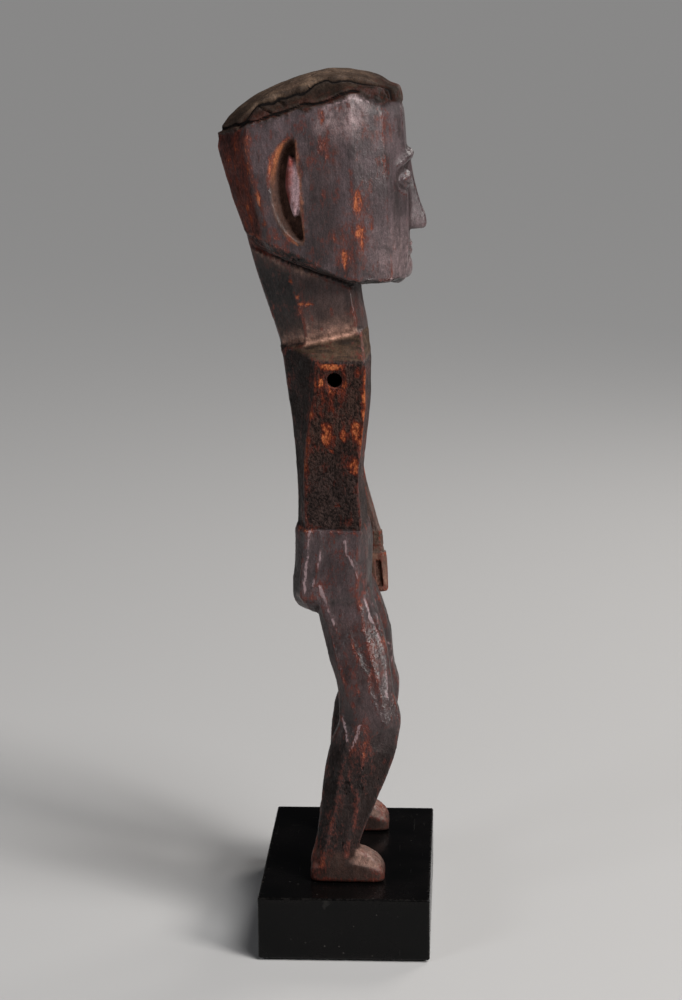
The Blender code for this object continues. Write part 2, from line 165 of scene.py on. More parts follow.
def joined(skins):
    points, faces, start = [], [], 0
    for skinPoints, skinFaces in skins:
        points.append(skinPoints)
        faces += [[corner + start for corner in face] for face in skinFaces]
        start += len(skinPoints)
    return np.concatenate(points), faces


def makeObject(name, skin):
    # skin is (points in millimetres above the soles, faces)
    points, faces = skin
    mesh = bpy.data.meshes.new(name)
    mesh.from_pydata(((points + (0, 0, soleHeight)) * metre).tolist(), [], faces)
    mesh.update()
    obj = bpy.data.objects.new(name, mesh)
    bpy.context.scene.collection.objects.link(obj)
    return obj


def settle(obj):
    # bakes the modifiers into the mesh
    graph = bpy.context.evaluated_depsgraph_get()
    mesh = bpy.data.meshes.new_from_object(obj.evaluated_get(graph))
    obj.modifiers.clear()
    obj.data = mesh
    return obj


def cutAway(obj, skin):
    cutter = makeObject("cutter", skin)
    modifier = obj.modifiers.new("cut", "BOOLEAN")
    modifier.operation = "DIFFERENCE"
    modifier.object = cutter
    settle(obj)
    bpy.data.objects.remove(cutter)


def fuse(obj, size):
    # one skin round overlapping shells, with cells of the given size in millimetres
    modifier = obj.modifiers.new("fuse", "REMESH")
    modifier.mode = "VOXEL"
    modifier.voxel_size = size * metre
    settle(obj)


def readPoints(obj):
    points = np.empty(len(obj.data.vertices) * 3, np.float32)
    obj.data.vertices.foreach_get("co", points)
    return points.reshape(-1, 3).astype(float) / metre - (0, 0, soleHeight)


def writePoints(obj, points):
    flat = ((points + (0, 0, soleHeight)) * metre).astype(np.float32)
    obj.data.vertices.foreach_set("co", flat.ravel())
    obj.data.update()


def readNormals(obj):
    normals = np.empty(len(obj.data.vertices) * 3, np.float32)
    obj.data.vertex_normals.foreach_get("vector", normals)
    return normals.reshape(-1, 3).astype(float)


def readEdges(obj):
    edges = np.empty(len(obj.data.edges) * 2, np.int32)
    obj.data.edges.foreach_get("vertices", edges)
    return edges.reshape(-1, 2)


def averaged(values, edges, rounds, share=1.0):
    # each value moves towards the mean of its neighbours along the edges
    count = len(values)
    ends = np.concatenate([edges, edges[:, ::-1]])
    degree = np.maximum(np.bincount(ends[:, 0], minlength=count), 1)
    shape = values.shape
    values = values.reshape(count, -1)
    for _ in range(rounds):
        columns = [np.bincount(ends[:, 0], column[ends[:, 1]], count) / degree for column in values.T]
        values = values + share * (np.stack(columns, axis=1) - values)
    return values.reshape(shape)


def smoothed(obj, rounds):
    # two opposite passes each round, so that the shape doesn't shrink
    points = readPoints(obj)
    edges = readEdges(obj)
    for _ in range(rounds):
        points = averaged(points, edges, 1, 0.5)
        points = averaged(points, edges, 1, -0.53)
    writePoints(obj, points)


def standOut(points, normals, edges, rounds):
    # how far each point stands out of its surroundings, in millimetres: arrises +, hollows -
    around = averaged(points, edges, rounds)
    return np.sum((points - around) * normals, axis=1)


def setFloat(obj, name, values):
    attribute = obj.data.attributes.new(name, "FLOAT", "POINT")
    attribute.data.foreach_set("value", np.clip(values, 0, 1).astype(np.float32))


def setColour(obj, name, colours):
    attribute = obj.data.attributes.new(name, "FLOAT_COLOR", "POINT")
    whole = np.concatenate([colours, np.ones((len(colours), 1))], axis=1)
    attribute.data.foreach_set("color", whole.astype(np.float32).ravel())


def tone(red, green, blue):
    # a display colour, 0 to 255, as linear light
    share = np.array([red, green, blue]) / 255
    return np.where(share <= 0.04045, share / 12.92, ((share + 0.055) / 1.055) ** 2.4)


def laid(colours, mask, colour):
    mask = np.clip(mask, 0, 1)[:, None]
    return colours * (1 - mask) + np.asarray(colour) * mask


def layered(points, first, layers, tones):
    # the first tone everywhere, then each (mask, tone name) laid over what is there
    colours = np.tile(tones[first], (len(points), 1))
    for mask, name in layers:
        colours = laid(colours, mask, tones[name])
    return colours


def turned(profile, sides, axis="z", at=(0.0, 0.0)):
    # a closed profile of (height, radius) turned about an axis through `at`
    profile = np.asarray(profile, float)
    turn = np.arange(sides) * math.tau / sides
    ring = np.stack([np.cos(turn), np.sin(turn)], axis=1)
    across = profile[:, 1, None, None] * ring + np.asarray(at)
    height = np.broadcast_to(profile[:, 0, None, None], across.shape[:2] + (1,))
    parts = [across, height] if axis == "z" else [height, across]
    return np.concatenate(parts, axis=2)


# Camera, floor and light

view = {"place": (-1.0318, -0.0543, 0.4449), "turn": 3.169, "dip": 12.964, "roll": -0.486, "lens": 81.0}
studio = {
    "floorHalf": 120.0,
    "floorColour": (0.47, 0.465, 0.46),
    "world": (0.018, 0.018, 0.02),
    "backdrop": (0.25, 0.248, 0.244),
    "aim": (0.0, 0.0, 0.24),
    # wide even light from above the front: direction it comes from, strength, width in degrees
    "overhead": ((-0.35, -0.45, 1.0), 1.9, 28.0),
    # name: place, width, power, colour
    "softboxes": {
        "frontSoftbox": ((-0.72, -1.0, 0.85), 0.42, 15.0, (1.0, 0.97, 0.94)),
        "rearStrip": ((-0.95, 0.95, 0.75), 0.40, 3.6, (0.94, 0.96, 1.0)),
        "farRim": ((0.8, -0.7, 0.9), 0.5, 5.0, (1.0, 0.96, 0.92)),
    },
}


def makeCamera():
    turn, dip, roll = (math.radians(view[key]) for key in ("turn", "dip", "roll"))
    flat = math.cos(dip)
    ahead = np.array([math.cos(turn) * flat, math.sin(turn) * flat, -math.sin(dip)])
    level = np.array([math.sin(turn), -math.cos(turn), 0.0])
    above = np.cross(level, ahead)
    right = math.cos(roll) * level + math.sin(roll) * above
    up = math.cos(roll) * above - math.sin(roll) * level
    data = bpy.data.cameras.new("camera")
    data.sensor_width = 36.0
    data.lens = view["lens"]
    data.clip_start = 0.01
    camera = bpy.data.objects.new("camera", data)
    columns = np.stack([right, up, -ahead, view["place"]], axis=1)
    camera.matrix_world = Matrix(columns.tolist() + [[0.0, 0.0, 0.0, 1.0]])
    bpy.context.scene.collection.objects.link(camera)
    bpy.context.scene.camera = camera


def aimed(direction):
    return Vector(direction).to_track_quat("Z", "Y").to_euler()


def makeStudio():
    half = studio["floorHalf"]
    corners = [(-half, -half, 0.0), (half, -half, 0.0), (half, half, 0.0), (-half, half, 0.0)]
    mesh = bpy.data.meshes.new("floor")
    mesh.from_pydata(corners, [], [[0, 1, 2, 3]])
    floor = bpy.data.objects.new("floor", mesh)
    bpy.context.scene.collection.objects.link(floor)
    material, _, shader = newMaterial("paleFloor")
    shader.inputs["Base Color"].default_value = (*studio["floorColour"], 1.0)
    shader.inputs["Roughness"].default_value = 0.9
    shader.inputs["Specular IOR Level"].default_value = 0.2
    mesh.materials.append(material)
    world = bpy.data.worlds.new("studio")
    world.use_nodes = True
    # beyond the floor's far edge there is a plain backdrop in the floor's own tone, which gives no light
    tree = world.node_tree
    seen = node(tree, "LightPath").outputs["Is Camera Ray"]
    colour = blended(tree, seen, (*studio["world"], 1.0), (*studio["backdrop"], 1.0))
    tree.links.new(colour, tree.nodes["Background"].inputs["Color"])
    bpy.context.scene.world = world
    direction, strength, spread = studio["overhead"]
    data = bpy.data.lights.new("overhead", "SUN")
    data.energy = strength
    data.angle = math.radians(spread)
    light = bpy.data.objects.new("overhead", data)
    light.rotation_euler = aimed(direction)
    bpy.context.scene.collection.objects.link(light)
    for name, (place, width, power, colour) in studio["softboxes"].items():
        data = bpy.data.lights.new(name, "AREA")
        data.size = width
        data.energy = power
        data.color = colour
        light = bpy.data.objects.new(name, data)
        light.location = place
        light.rotation_euler = aimed(Vector(place) - Vector(studio["aim"]))
        bpy.context.scene.collection.objects.link(light)
    bpy.context.scene.view_settings.view_transform = "Standard"


# Shader nodes

def newMaterial(name):
    material = bpy.data.materials.new(name)
    material.use_nodes = True
    tree = material.node_tree
    return material, tree, tree.nodes["Principled BSDF"]


def node(tree, kind, inputs=(), **settings):
    made = tree.nodes.new("ShaderNode" + kind)
    for key, value in settings.items():
        setattr(made, key, value)
    for key, value in dict(inputs).items():
        if isinstance(value, bpy.types.NodeSocket):
            tree.links.new(value, made.inputs[key])
        else:
            made.inputs[key].default_value = value
    return made


def calc(tree, operation, a, b=0.0, clamp=False):
    return node(tree, "Math", {0: a, 1: b}, operation=operation, use_clamp=clamp).outputs[0]


def blended(tree, share, a, b, how="MIX"):
    inputs = {0: share, 6: a, 7: b}
    return node(tree, "Mix", inputs, data_type="RGBA", blend_type=how).outputs[2]


def span(tree, value, low, high, start=0.0, end=1.0):
    inputs = {"Value": value, "From Min": low, "From Max": high, "To Min": start, "To Max": end}
    return node(tree, "MapRange", inputs, interpolation_type="SMOOTHSTEP").outputs[0]


def attribute(tree, name):
    made = node(tree, "Attribute", attribute_name=name)
    return made.outputs["Color"] if name == "patina" else made.outputs["Fac"]


def stretched(tree, scale):
    # object coordinates in metres, multiplied by a scale for each axis
    place = node(tree, "TexCoord").outputs["Object"]
    return node(tree, "Mapping", {"Vector": place, "Scale": scale}).outputs[0]


def grainNoise(tree, scale, detail=4.0, distortion=0.0):
    inputs = {"Vector": stretched(tree, scale), "Scale": 1.0, "Detail": detail, "Distortion": distortion}
    return node(tree, "TexNoise", inputs).outputs["Fac"]


def crackle(tree, scale):
    inputs = {"Vector": stretched(tree, scale), "Scale": 1.0}
    return node(tree, "TexVoronoi", inputs, feature="DISTANCE_TO_EDGE").outputs["Distance"]


def colour4(red, green, blue):
    return (*tone(red, green, blue), 1.0)


# Carved wood: painted patina, then mottling, fibres, bare flecks, crust and cracks worked over it

woodLook = {
    "mottle": (110.0, 110.0, 70.0),
    "fibre": (1100.0, 1100.0, 75.0),
    "speck": (2300.0, 2300.0, 1500.0),
    "flecks": (330.0, 330.0, 150.0),
    "smallFlecks": (1150.0, 1150.0, 620.0),
    "dents": (620.0, 620.0, 380.0),
    "crust": (800.0, 800.0, 700.0),
    "web": (400.0, 400.0, 120.0),
    "rubbed": colour4(84, 34, 24),
    "bare": colour4(120, 52, 29),
    "bareBright": colour4(178, 102, 62),
    # pale: worn wood, and painted highlights on arrises and glints
    "pale": colour4(140, 120, 122),
    "dark": colour4(15, 11, 10),
    "roughest": 0.85,
    "glossiest": 0.26,
}


def grey(tree, value):
    return node(tree, "CombineColor", {0: value, 1: value, 2: value}).outputs[0]


def times(tree, a, b):
    return calc(tree, "MULTIPLY", a, b)


def plus(tree, a, b, clamp=False):
    return calc(tree, "ADD", a, b, clamp)


def carvedWoodMaterial(name, look):
    material, tree, shader = newMaterial(name)
    patina, raw, crust, cracks, gloss, pale = (
        attribute(tree, key) for key in ("patina", "raw", "crust", "cracks", "gloss", "pale")
    )
    mottle = grainNoise(tree, look["mottle"], 6.0, 0.5)
    fibre = grainNoise(tree, look["fibre"], 4.0, 0.3)
    speck = grainNoise(tree, look["speck"], 3.0)
    flecks = grainNoise(tree, look["flecks"], 7.0, 0.8)
    smallFlecks = grainNoise(tree, look["smallFlecks"], 5.0, 0.4)
    pits = grainNoise(tree, look["crust"], 6.0, 0.3)
    dents = grainNoise(tree, look["dents"], 3.0, 0.2)
    web = crackle(tree, look["web"])
    # cloudy patches, soft vertical fibres and fine specks
    shade = times(tree, span(tree, mottle, 0.32, 0.68, 0.66, 1.36), span(tree, fibre, 0.3, 0.7, 0.88, 1.14))
    shade = times(tree, shade, span(tree, speck, 0.3, 0.7, 0.70, 1.32))
    shade = times(tree, shade, span(tree, dents, 0.3, 0.7, 1.16, 0.84))
    colour = blended(tree, 1.0, patina, grey(tree, shade), "MULTIPLY")
    # crust: clotted black between brown grains
    clot = times(tree, times(tree, crust, 0.78), span(tree, pits, 0.54, 0.40))
    colour = blended(tree, clot, colour, look["dark"])
    # rubbed red, then bare orange wood, where the raw mask meets the fleck noise
    spread = plus(tree, times(tree, flecks, 0.5), times(tree, smallFlecks, 0.5))
    bareness = calc(tree, "SUBTRACT", plus(tree, raw, spread), 1.0)
    rubbed = span(tree, bareness, -0.19, 0.0, 0.0, 0.8)
    bare = span(tree, bareness, -0.05, 0.13, 0.0, 0.92)
    colour = blended(tree, rubbed, colour, look["rubbed"])
    bright = span(tree, plus(tree, bareness, times(tree, speck, 0.4)), 0.22, 0.46)
    colour = blended(tree, bare, colour, blended(tree, bright, look["bare"], look["bareBright"]))
    # worn edges and painted highlights: the painted ramp, cut to a thin line and broken up by the flecks
    worn = plus(tree, pale, times(tree, calc(tree, "SUBTRACT", spread, 0.5), 1.6))
    worn = span(tree, worn, 0.70, 0.92)
    colour = blended(tree, times(tree, worn, 0.8), colour, look["pale"])
    # cracks: a fine web in the crust, and the carved ones cut from their ramps
    webLine = times(tree, span(tree, web, 0.05, 0.0), times(tree, crust, 0.45))
    line = plus(tree, cracks, times(tree, calc(tree, "SUBTRACT", speck, 0.5), 0.25))
    deep = calc(tree, "MAXIMUM", span(tree, line, 0.68, 0.86), webLine, True)
    colour = blended(tree, deep, colour, look["dark"])
    tree.links.new(colour, shader.inputs["Base Color"])
    # polish is uneven, and falls in the crust, the cracks and the bare wood
    polish = calc(tree, "SUBTRACT", plus(tree, gloss, times(tree, worn, 0.4)), times(tree, bare, 0.3))
    polish = calc(tree, "SUBTRACT", polish, times(tree, deep, 0.6))
    polish = plus(tree, polish, times(tree, calc(tree, "SUBTRACT", smallFlecks, 0.5), 0.7), True)
    rough = span(tree, polish, 0.0, 1.0, look["roughest"], look["glossiest"])
    tree.links.new(rough, shader.inputs["Roughness"])
    tree.links.new(span(tree, polish, 0.0, 0.8, 0.10, 0.46), shader.inputs["Specular IOR Level"])
    # relief: specks and fibres everywhere, pits in the crust, sunken cracks, chips that lie lower
    relief = plus(tree, times(tree, fibre, 0.12), times(tree, speck, 0.26))
    relief = plus(tree, relief, times(tree, dents, 0.6))
    relief = plus(tree, relief, times(tree, times(tree, pits, crust), 3.0))
    relief = calc(tree, "SUBTRACT", relief, times(tree, deep, 0.8))
    relief = calc(tree, "SUBTRACT", relief, times(tree, bare, 0.45))
    relief = node(tree, "Bump", {"Height": relief, "Strength": 0.9, "Distance": 0.0006})
    tree.links.new(relief.outputs[0], shader.inputs["Normal"])
    return material


# Carved figure: the outline of each shell, as (x, y) corners from front to back at each height

torso = {
    # height, front, side front, side rear, back
    "stations": [
        (164.0, (17.4, -9.8), (21.3, -8.0), (21.4, 17.6), (12.5, 23.2)),
        (176.0, (18.5, -8.9), (22.5, -7.5), (22.5, 18.4), (12.0, 23.0)),
        (190.0, (20.0, -8.1), (24.0, -7.0), (24.0, 18.4), (11.5, 23.3)),
        (205.0, (21.0, -9.4), (25.5, -8.2), (25.5, 17.4), (11.0, 24.4)),
        (216.0, (21.5, -10.8), (26.0, -9.4), (26.0, 16.0), (10.5, 25.4)),
        (227.0, (22.0, -11.6), (26.0, -10.4), (26.0, 14.2), (10.0, 27.0)),
        (243.5, (21.2, -11.9), (26.0, -10.4), (26.0, 12.6), (10.0, 29.2)),
        (246.0, (20.4, -11.7), (24.6, -9.9), (24.6, 13.4), (10.0, 29.6)),
        (256.0, (11.5, -10.8, 256.5), (17.2, -8.0, 257.5), (17.5, 20.0, 251.5), (9.0, 30.6, 249.0)),
    ],
    "chestSwell": 1.4,
    "spineSwell": 0.8,
}
hips = {
    "stations": [
        (124.6, (12.0, -11.0), (16.0, -7.5), (14.5, 15.0), (8.5, 19.6)),
        (128.0, (16.0, -12.0), (21.0, -7.4), (19.0, 17.8), (12.0, 23.4)),
        (132.6, (17.6, -11.8), (25.0, -6.4), (23.8, 19.6), (14.0, 25.0)),
        (134.4, (17.8, -11.6), (25.4, -6.0), (24.4, 20.6), (14.2, 25.2)),
        (148.0, (17.0, -12.2), (24.2, -5.6), (23.2, 20.2), (13.4, 24.4)),
        (158.0, (17.0, -12.0), (22.9, -6.2), (22.4, 18.8), (12.8, 24.0)),
        (166.4, (17.2, -11.0), (22.3, -7.6), (22.2, 18.3), (12.6, 23.8)),
        (168.0, (16.0, -9.0), (20.0, -6.8), (20.0, 16.4), (11.5, 21.8)),
    ],
    "chestSwell": 2.2,
    "spineSwell": -0.9,
}
neck = {
    "stations": [
        (240.0, (10.0, -10.6), (16.5, -7.0), (16.5, 17.0), (8.0, 27.6)),
        (256.0, (10.5, -10.6), (17.0, -6.4), (17.0, 17.5), (8.0, 31.8)),
        (275.0, (10.0, -7.8), (16.8, -3.6), (17.4, 22.0), (9.0, 37.8)),
        (290.0, (10.0, -6.0), (17.0, -2.0), (18.0, 25.0), (10.5, 42.2)),
        (301.0, (10.0, -5.0), (17.0, -1.0), (18.5, 27.0), (11.0, 45.0)),
    ],
    "chestSwell": 1.6,
    "spineSwell": 1.0,
}
head = {
    # the edge of the jaw: its height under the face, and how it climbs from `jawTurn` towards the nape
    "jawHeight": 282.4,
    "jawRise": 0.36,
    "jawTurn": -4.0,
    # the edge of the skull under the cap, and how far the hair dips below it over the forehead
    "capHeight": 363.2,
    "capFall": 0.29,
    "capTop": 367.0,
    "hairDip": 6.0,
    "crown": 375.5,
    "crownFall": 0.0075,
    # rings of (x, y) corners from front to back, from under the jaw up to the crown
    "under": [(11.0, -25.5), (19.0, -20.0), (24.5, -8.0), (25.2, 10.0), (25.0, 27.0), (12.5, 40.4)],
    "jaw": [(13.5, -28.4), (22.0, -22.5), (28.6, -8.0), (29.6, 10.0), (29.2, 31.0), (14.5, 43.6)],
    "cheek": [(15.0, -29.5), (25.0, -21.0), (30.0, -7.0), (31.2, 12.0), (30.6, 33.5), (15.0, 46.2)],
    "temple": [(16.0, -29.0), (26.5, -20.0), (31.5, -6.0), (32.4, 15.0), (31.8, 38.5), (16.0, 51.5)],
    "brow": [(15.5, -28.0), (26.0, -19.0), (31.5, -5.0), (32.4, 18.0), (32.0, 41.8), (17.0, 56.2)],
    "rim": [(14.5, -25.2), (24.5, -16.5), (30.5, -3.5), (31.6, 18.0), (31.5, 42.0), (17.0, 56.2)],
    "dome": [(12.5, -21.5), (21.0, -13.5), (26.0, -2.0), (27.2, 18.0), (27.0, 38.0), (14.0, 51.5)],
    "top": [(9.5, -15.5), (16.0, -8.0), (19.5, 1.0), (20.0, 16.0), (19.5, 31.0), (9.5, 41.5)],
    "cheekHeight": 303.0,
    "templeHeight": 325.0,
    "browHeight": 342.0,
    "domeHeights": [369.0, 369.2, 368.2, 364.0, 358.6, 354.4],
    "topHeights": [372.2, 372.6, 372.6, 370.3, 366.4, 362.8],
}
leg = {
    # height, middle, half-width, front, side front, side rear, back
    "stations": [
        (136.0, 12.5, 10.8, -11.0, -6.0, 13.0, 18.0),
        (128.0, 14.0, 11.2, -14.0, -8.0, 10.5, 13.6),
        (120.0, 16.5, 10.4, -16.7, -8.8, 7.6, 11.6),
        (105.0, 21.5, 10.0, -20.2, -12.8, 3.4, 7.7),
        (90.0, 25.5, 9.5, -22.6, -16.8, -1.6, 3.4),
        (77.0, 28.0, 9.2, -26.0, -19.6, -5.6, 3.0),
        (67.0, 29.3, 8.8, -24.6, -9.5, -1.0, 6.6),
        (50.0, 30.6, 8.4, -19.4, -7.5, 2.5, 10.2),
        (34.0, 31.6, 8.2, -12.6, -5.5, 5.0, 11.9),
        (18.0, 32.5, 8.2, -6.8, -2.0, 9.0, 14.3),
        (9.0, 33.0, 8.2, -4.8, -1.0, 11.0, 16.6),
        (2.0, 33.0, 7.6, -4.0, -1.0, 10.5, 16.0),
    ],
    "ridge": 0.42,
    # the left knee is bent a little less than the right
    "knee": 77.0,
    "kneeReach": 18.0,
    "leftKneeBack": 2.4,
}
foot = {
    "middle": 33.0,
    # y, half-width, half-width of the top, height of the side, height of the top
    "stations": [
        (16.7, 4.4, 2.6, 4.5, 7.0),
        (15.2, 7.2, 4.0, 6.5, 10.0),
        (6.0, 8.3, 4.6, 9.6, 15.0),
        (-4.0, 8.4, 4.8, 9.2, 14.8),
        (-9.5, 8.4, 5.0, 8.0, 13.6),
        (-13.6, 8.2, 5.2, 6.6, 11.4),
        (-16.6, 7.4, 4.6, 5.2, 8.6),
        (-18.3, 5.6, 3.4, 3.4, 5.2),
    ],
}
face = {
    "plane": -29.0,
    "browHeight": 334.0,
    "eyeHeight": 327.0,
    "eyeApart": 12.0,
    "noseBase": 303.5,
    "lid": (7.4, 4.4),
    # rings of a lid: scale and how far it lies from the face plane
    "lidRings": [(1.0, 7.0), (1.0, 0.7), (0.84, -0.7), (0.5, -1.7), (0.2, -2.0)],
    "lidTurn": 0.09,
    "socket": (10.5, 7.0),
    "mouthHeight": 295.0,
    "mouthHalf": 10.5,
    "mouthLift": 0.011,
    # how thick the upper and the lower lip grow in the middle
    "lips": {1: 2.7, -1: 3.3},
    "chinHeight": 280.8,
    "chin": (9.6, 5.2),
    "chinRings": [(1.0, 6.0), (1.0, 0.6), (0.86, -0.7), (0.55, -1.7), (0.2, -2.0)],
    # height above the nose's base, half-width at the face, half-width of the ridge, how far it stands out
    "nose": [
        (33.5, 3.4, 1.8, 0.9),
        (23.5, 3.5, 1.6, 2.6),
        (12.0, 4.8, 2.0, 5.6),
        (5.0, 7.0, 2.9, 8.2),
        (1.6, 7.3, 3.1, 8.5),
        (0.0, 6.4, 2.6, 7.0),
    ],
    # x, lowest, highest, how far the ridge of the brow lies from the face plane
    "brow": [
        (1.5, 0.6, 4.4, -1.9),
        (6.0, 1.3, 5.3, -2.7),
        (12.0, 1.3, 5.3, -2.1),
        (17.5, -0.4, 3.6, 0.3),
        (21.5, -2.8, 0.8, 4.8),
    ],
}
ear = {
    "low": (16.6, 298.5),
    "high": (20.2, 347.0),
    # how far out, how far the back edge bows, how much shorter at each end
    "hollow": [(36.0, 14.8, -0.6), (32.0, 13.6, 0.0), (30.9, 12.4, 1.2), (26.6, 8.6, 3.6)],
    "frontBow": 0.9,
    "lean": 0.074,
    "ridgeMiddle": (21.6, 325.0),
    # how far out, half-width, half-height
    "ridge": [(24.6, 3.7, 14.8), (28.6, 3.3, 14.2), (30.6, 2.7, 13.0), (31.9, 1.3, 9.5)],
    "bow": 13.4,
}
bores = {"shoulderRadius": 3.5, "shoulderDepth": 15.0, "shoulder": (26.0, 4.0, 237.0),
         "soleRadius": 2.3, "soleDepth": 18.0, "sole": (33.0, 4.0)}


def trunkSkin(shape):
    # corners at each height, and one more in the middle of the front and of the back; a positive
    # swell sets the outer corners behind the middle one, a negative one sinks the middle
    half = []
    chest, spine = shape["chestSwell"], shape["spineSwell"]
    for height, *corners in shape["stations"]:
        front, sideFront, sideRear, back = [(*corner, height)[:3] for corner in corners]
        middleFront = (0.01, front[1], front[2])
        middleBack = (0.01, back[1] + min(spine, 0.0), back[2])
        front = (front[0], front[1] + chest, front[2])
        back = (back[0], back[1] - max(spine, 0.0), back[2])
        half.append([middleFront, front, sideFront, sideRear, back, middleBack])
    return closedSkin(facetGrid(bothSides(half)))


def jawEdge(y):
    # level under the face, climbing towards the nape
    return head["jawHeight"] + np.maximum(0.0, y - head["jawTurn"]) * head["jawRise"]


def capEdge(y):
    # climbs from the back of the head and levels out over the forehead
    return np.minimum(head["capHeight"] - head["capFall"] * y, head["capTop"])


def hairLine(y):
    # the cap follows the edge of the skull and dips over the temples and forehead
    return capEdge(y) - head["hairDip"] * step(y, -4.0, -18.0)


def headSkin():
    # each ring lies level or follows the jaw, the cheek or the edge of the cap
    heights = {
        "under": lambda y: jawEdge(y) - 3.0,
        "jaw": jawEdge,
        "cheek": lambda y: head["cheekHeight"] + 0.1 * y,
        "temple": lambda y: head["templeHeight"],
        "brow": lambda y: head["browHeight"],
        "rim": capEdge,
    }
    half = [[(x, y, height(y)) for x, y in head[ring]] for ring, height in heights.items()]
    for ring in ("dome", "top"):
        half.append([(x, y, z) for (x, y), z in zip(head[ring], head[ring + "Heights"])])
    # two rings drawn in towards the crown close the dome
    inner = [(x * 0.45, 2.0 + (y - 2.0) * 0.45) for x, y in head["top"]]
    half.append([(x, y, head["crown"] - 0.5 - head["crownFall"] * (y - 1.0) ** 2) for x, y in inner])
    half.append([(x * 0.15, 1.0 + (y - 1.0) * 0.15, head["crown"]) for x, y in head["top"]])
    return closedSkin(facetGrid(bothSides(half)))


def legSkin(side):
    # eight corners round a leaning middle line
    rings = []
    for height, middle, half, front, sideFront, sideRear, back in leg["stations"]:
        narrow = leg["ridge"] * half
        outline = [(-narrow, front), (narrow, front), (half, sideFront), (half, sideRear)]
        outline += [(narrow, back), (-narrow, back), (-half, sideRear), (-half, sideFront)]
        bend = math.exp(-(((height - leg["knee"]) / leg["kneeReach"]) ** 2))
        shift = leg["leftKneeBack"] * bend if side > 0 else 0.0
        rings.append([(side * (middle + x), y + shift, height) for x, y in outline])
    return closedSkin(facetGrid(rings))


def footSkin(side):
    # a flat sole, upright sides and a sloping top, from heel to toes
    rings = []
    for y, half, topHalf, sideHeight, topHeight in foot["stations"]:
        inward = [(half * 0.94, 0.0), (half, 1.2), (half, sideHeight), (topHalf, topHeight)]
        outline = [(-half * 0.94, 0.0)] + inward + [(0.0, topHeight + 0.7)]
        outline += [(-x, z) for x, z in inward[:0:-1]]
        rings.append([(side * (foot["middle"] + x), y, z) for x, z in outline])
    return closedSkin(facetGrid(rings))


def oval(centre, halfWidth, halfHeight, corners, sharp=0.25):
    # an ellipse whose ends are drawn to points
    turn = np.arange(corners) * math.tau / corners
    along = centre[0] + halfWidth * np.cos(turn)
    up = centre[1] + halfHeight * np.sin(turn) * (1 - sharp * np.abs(np.cos(turn)))
    return along, up


def noseSkin():
    # a straight wedge that widens to rounded wings
    rings = []
    for up, half, ridge, out in face["nose"]:
        outline = [(-half, 4.0), (half, 4.0), (half, 0.2), (half * 0.86, -out * 0.35), (ridge, -out)]
        outline += [(-ridge, -out), (-half * 0.86, -out * 0.35), (-half, 0.2)]
        rings.append([(x, face["plane"] + y, face["noseBase"] + up) for x, y in outline])
    return closedSkin(facetGrid(rings))


def browSkin(side):
    # a low arched ridge from beside the nose to the temple
    rings = []
    for x, low, high, out in face["brow"]:
        middle = (low + high) / 2
        outline = [(7.5, low), (out + 0.6, low), (out, middle), (out + 1.3, high), (7.5, high)]
        rings.append([(side * x, face["plane"] + y, face["browHeight"] + z) for y, z in outline])
    return closedSkin(facetGrid(rings))


def lidSkin(side):
    # a closed lid: an almond that swells gently forward
    middle = (side * face["eyeApart"], face["eyeHeight"])
    halfWidth, halfHeight = face["lid"]
    rings = []
    for scale, y in face["lidRings"]:
        along, up = oval(middle, halfWidth * scale, halfHeight * scale, 16)
        out = face["plane"] + y + face["lidTurn"] * (np.abs(along) - face["eyeApart"])
        rings.append(np.stack([along, out, up], axis=1))
    return closedSkin(facetGrid(rings, along=3, across=2))


def mouthLine(x):
    # the corners of the mouth lie a little higher than its middle
    return face["mouthHeight"] + face["mouthLift"] * x ** 2


def lipSkin(side):
    # one lip, full in the middle and thin at the corners: side is 1 for the upper, -1 for the lower
    rings = []
    for x in np.linspace(-face["mouthHalf"], face["mouthHalf"], 9):
        fullness = math.sqrt(max(0.0, 1 - (x / 11.0) ** 2))
        thick = 0.5 + face["lips"][side] * fullness
        out = 1.4 - 3.6 * fullness
        outline = [(6.0, 0.05), (out + 0.9, 0.05), (out, thick * 0.35)]
        outline += [(out + 0.5, thick * 0.8), (6.0, thick)]
        rings.append([(x, face["plane"] + y, mouthLine(x) + side * z) for y, z in outline])
    return closedSkin(facetGrid(rings, along=3))


def chinSkin():
    # a low rounded chin
    halfWidth, halfHeight = face["chin"]
    middle = (0.0, face["chinHeight"] + halfHeight)
    rings = []
    for scale, y in face["chinRings"]:
        along, up = oval(middle, halfWidth * scale, halfHeight * scale, 16, 0.0)
        rings.append(np.stack([along, np.full(16, face["plane"] + y), up], axis=1))
    return closedSkin(facetGrid(rings, along=3, across=2))


def earCurve(bow, trim):
    # straight along the front, half an ellipse towards the back
    low = np.array(ear["low"]) + (0, trim)
    high = np.array(ear["high"]) - (0, trim)
    turn = np.linspace(0, math.pi, 15)[:, None]
    back = high + (low - high) * (1 - np.cos(turn)) / 2 + np.sin(turn) * (bow, 0)
    share = np.linspace(0.1, 0.9, 9)[:, None]
    front = low + (high - low) * share + np.sin(share * math.pi) * (ear["frontBow"], 0)
    return np.concatenate([back, front])


def earHollowSkin(side):
    rings = []
    for out, bow, trim in ear["hollow"]:
        curve = earCurve(bow, trim)
        rings.append(np.concatenate([np.full((len(curve), 1), side * out), curve], axis=1))
    return closedSkin(facetGrid(rings, along=2, across=1))


def earRidgeSkin(side):
    rings = []
    for out, halfWidth, halfHeight in ear["ridge"]:
        up, along = oval(ear["ridgeMiddle"][::-1], halfHeight, halfWidth, 24, 0.45)
        lean = (up - ear["ridgeMiddle"][1]) * ear["lean"]
        rings.append(np.stack([np.full(24, side * out), along + lean, up], axis=1))
    return closedSkin(facetGrid(rings, along=3, across=2))


# Knife work on the fused figure

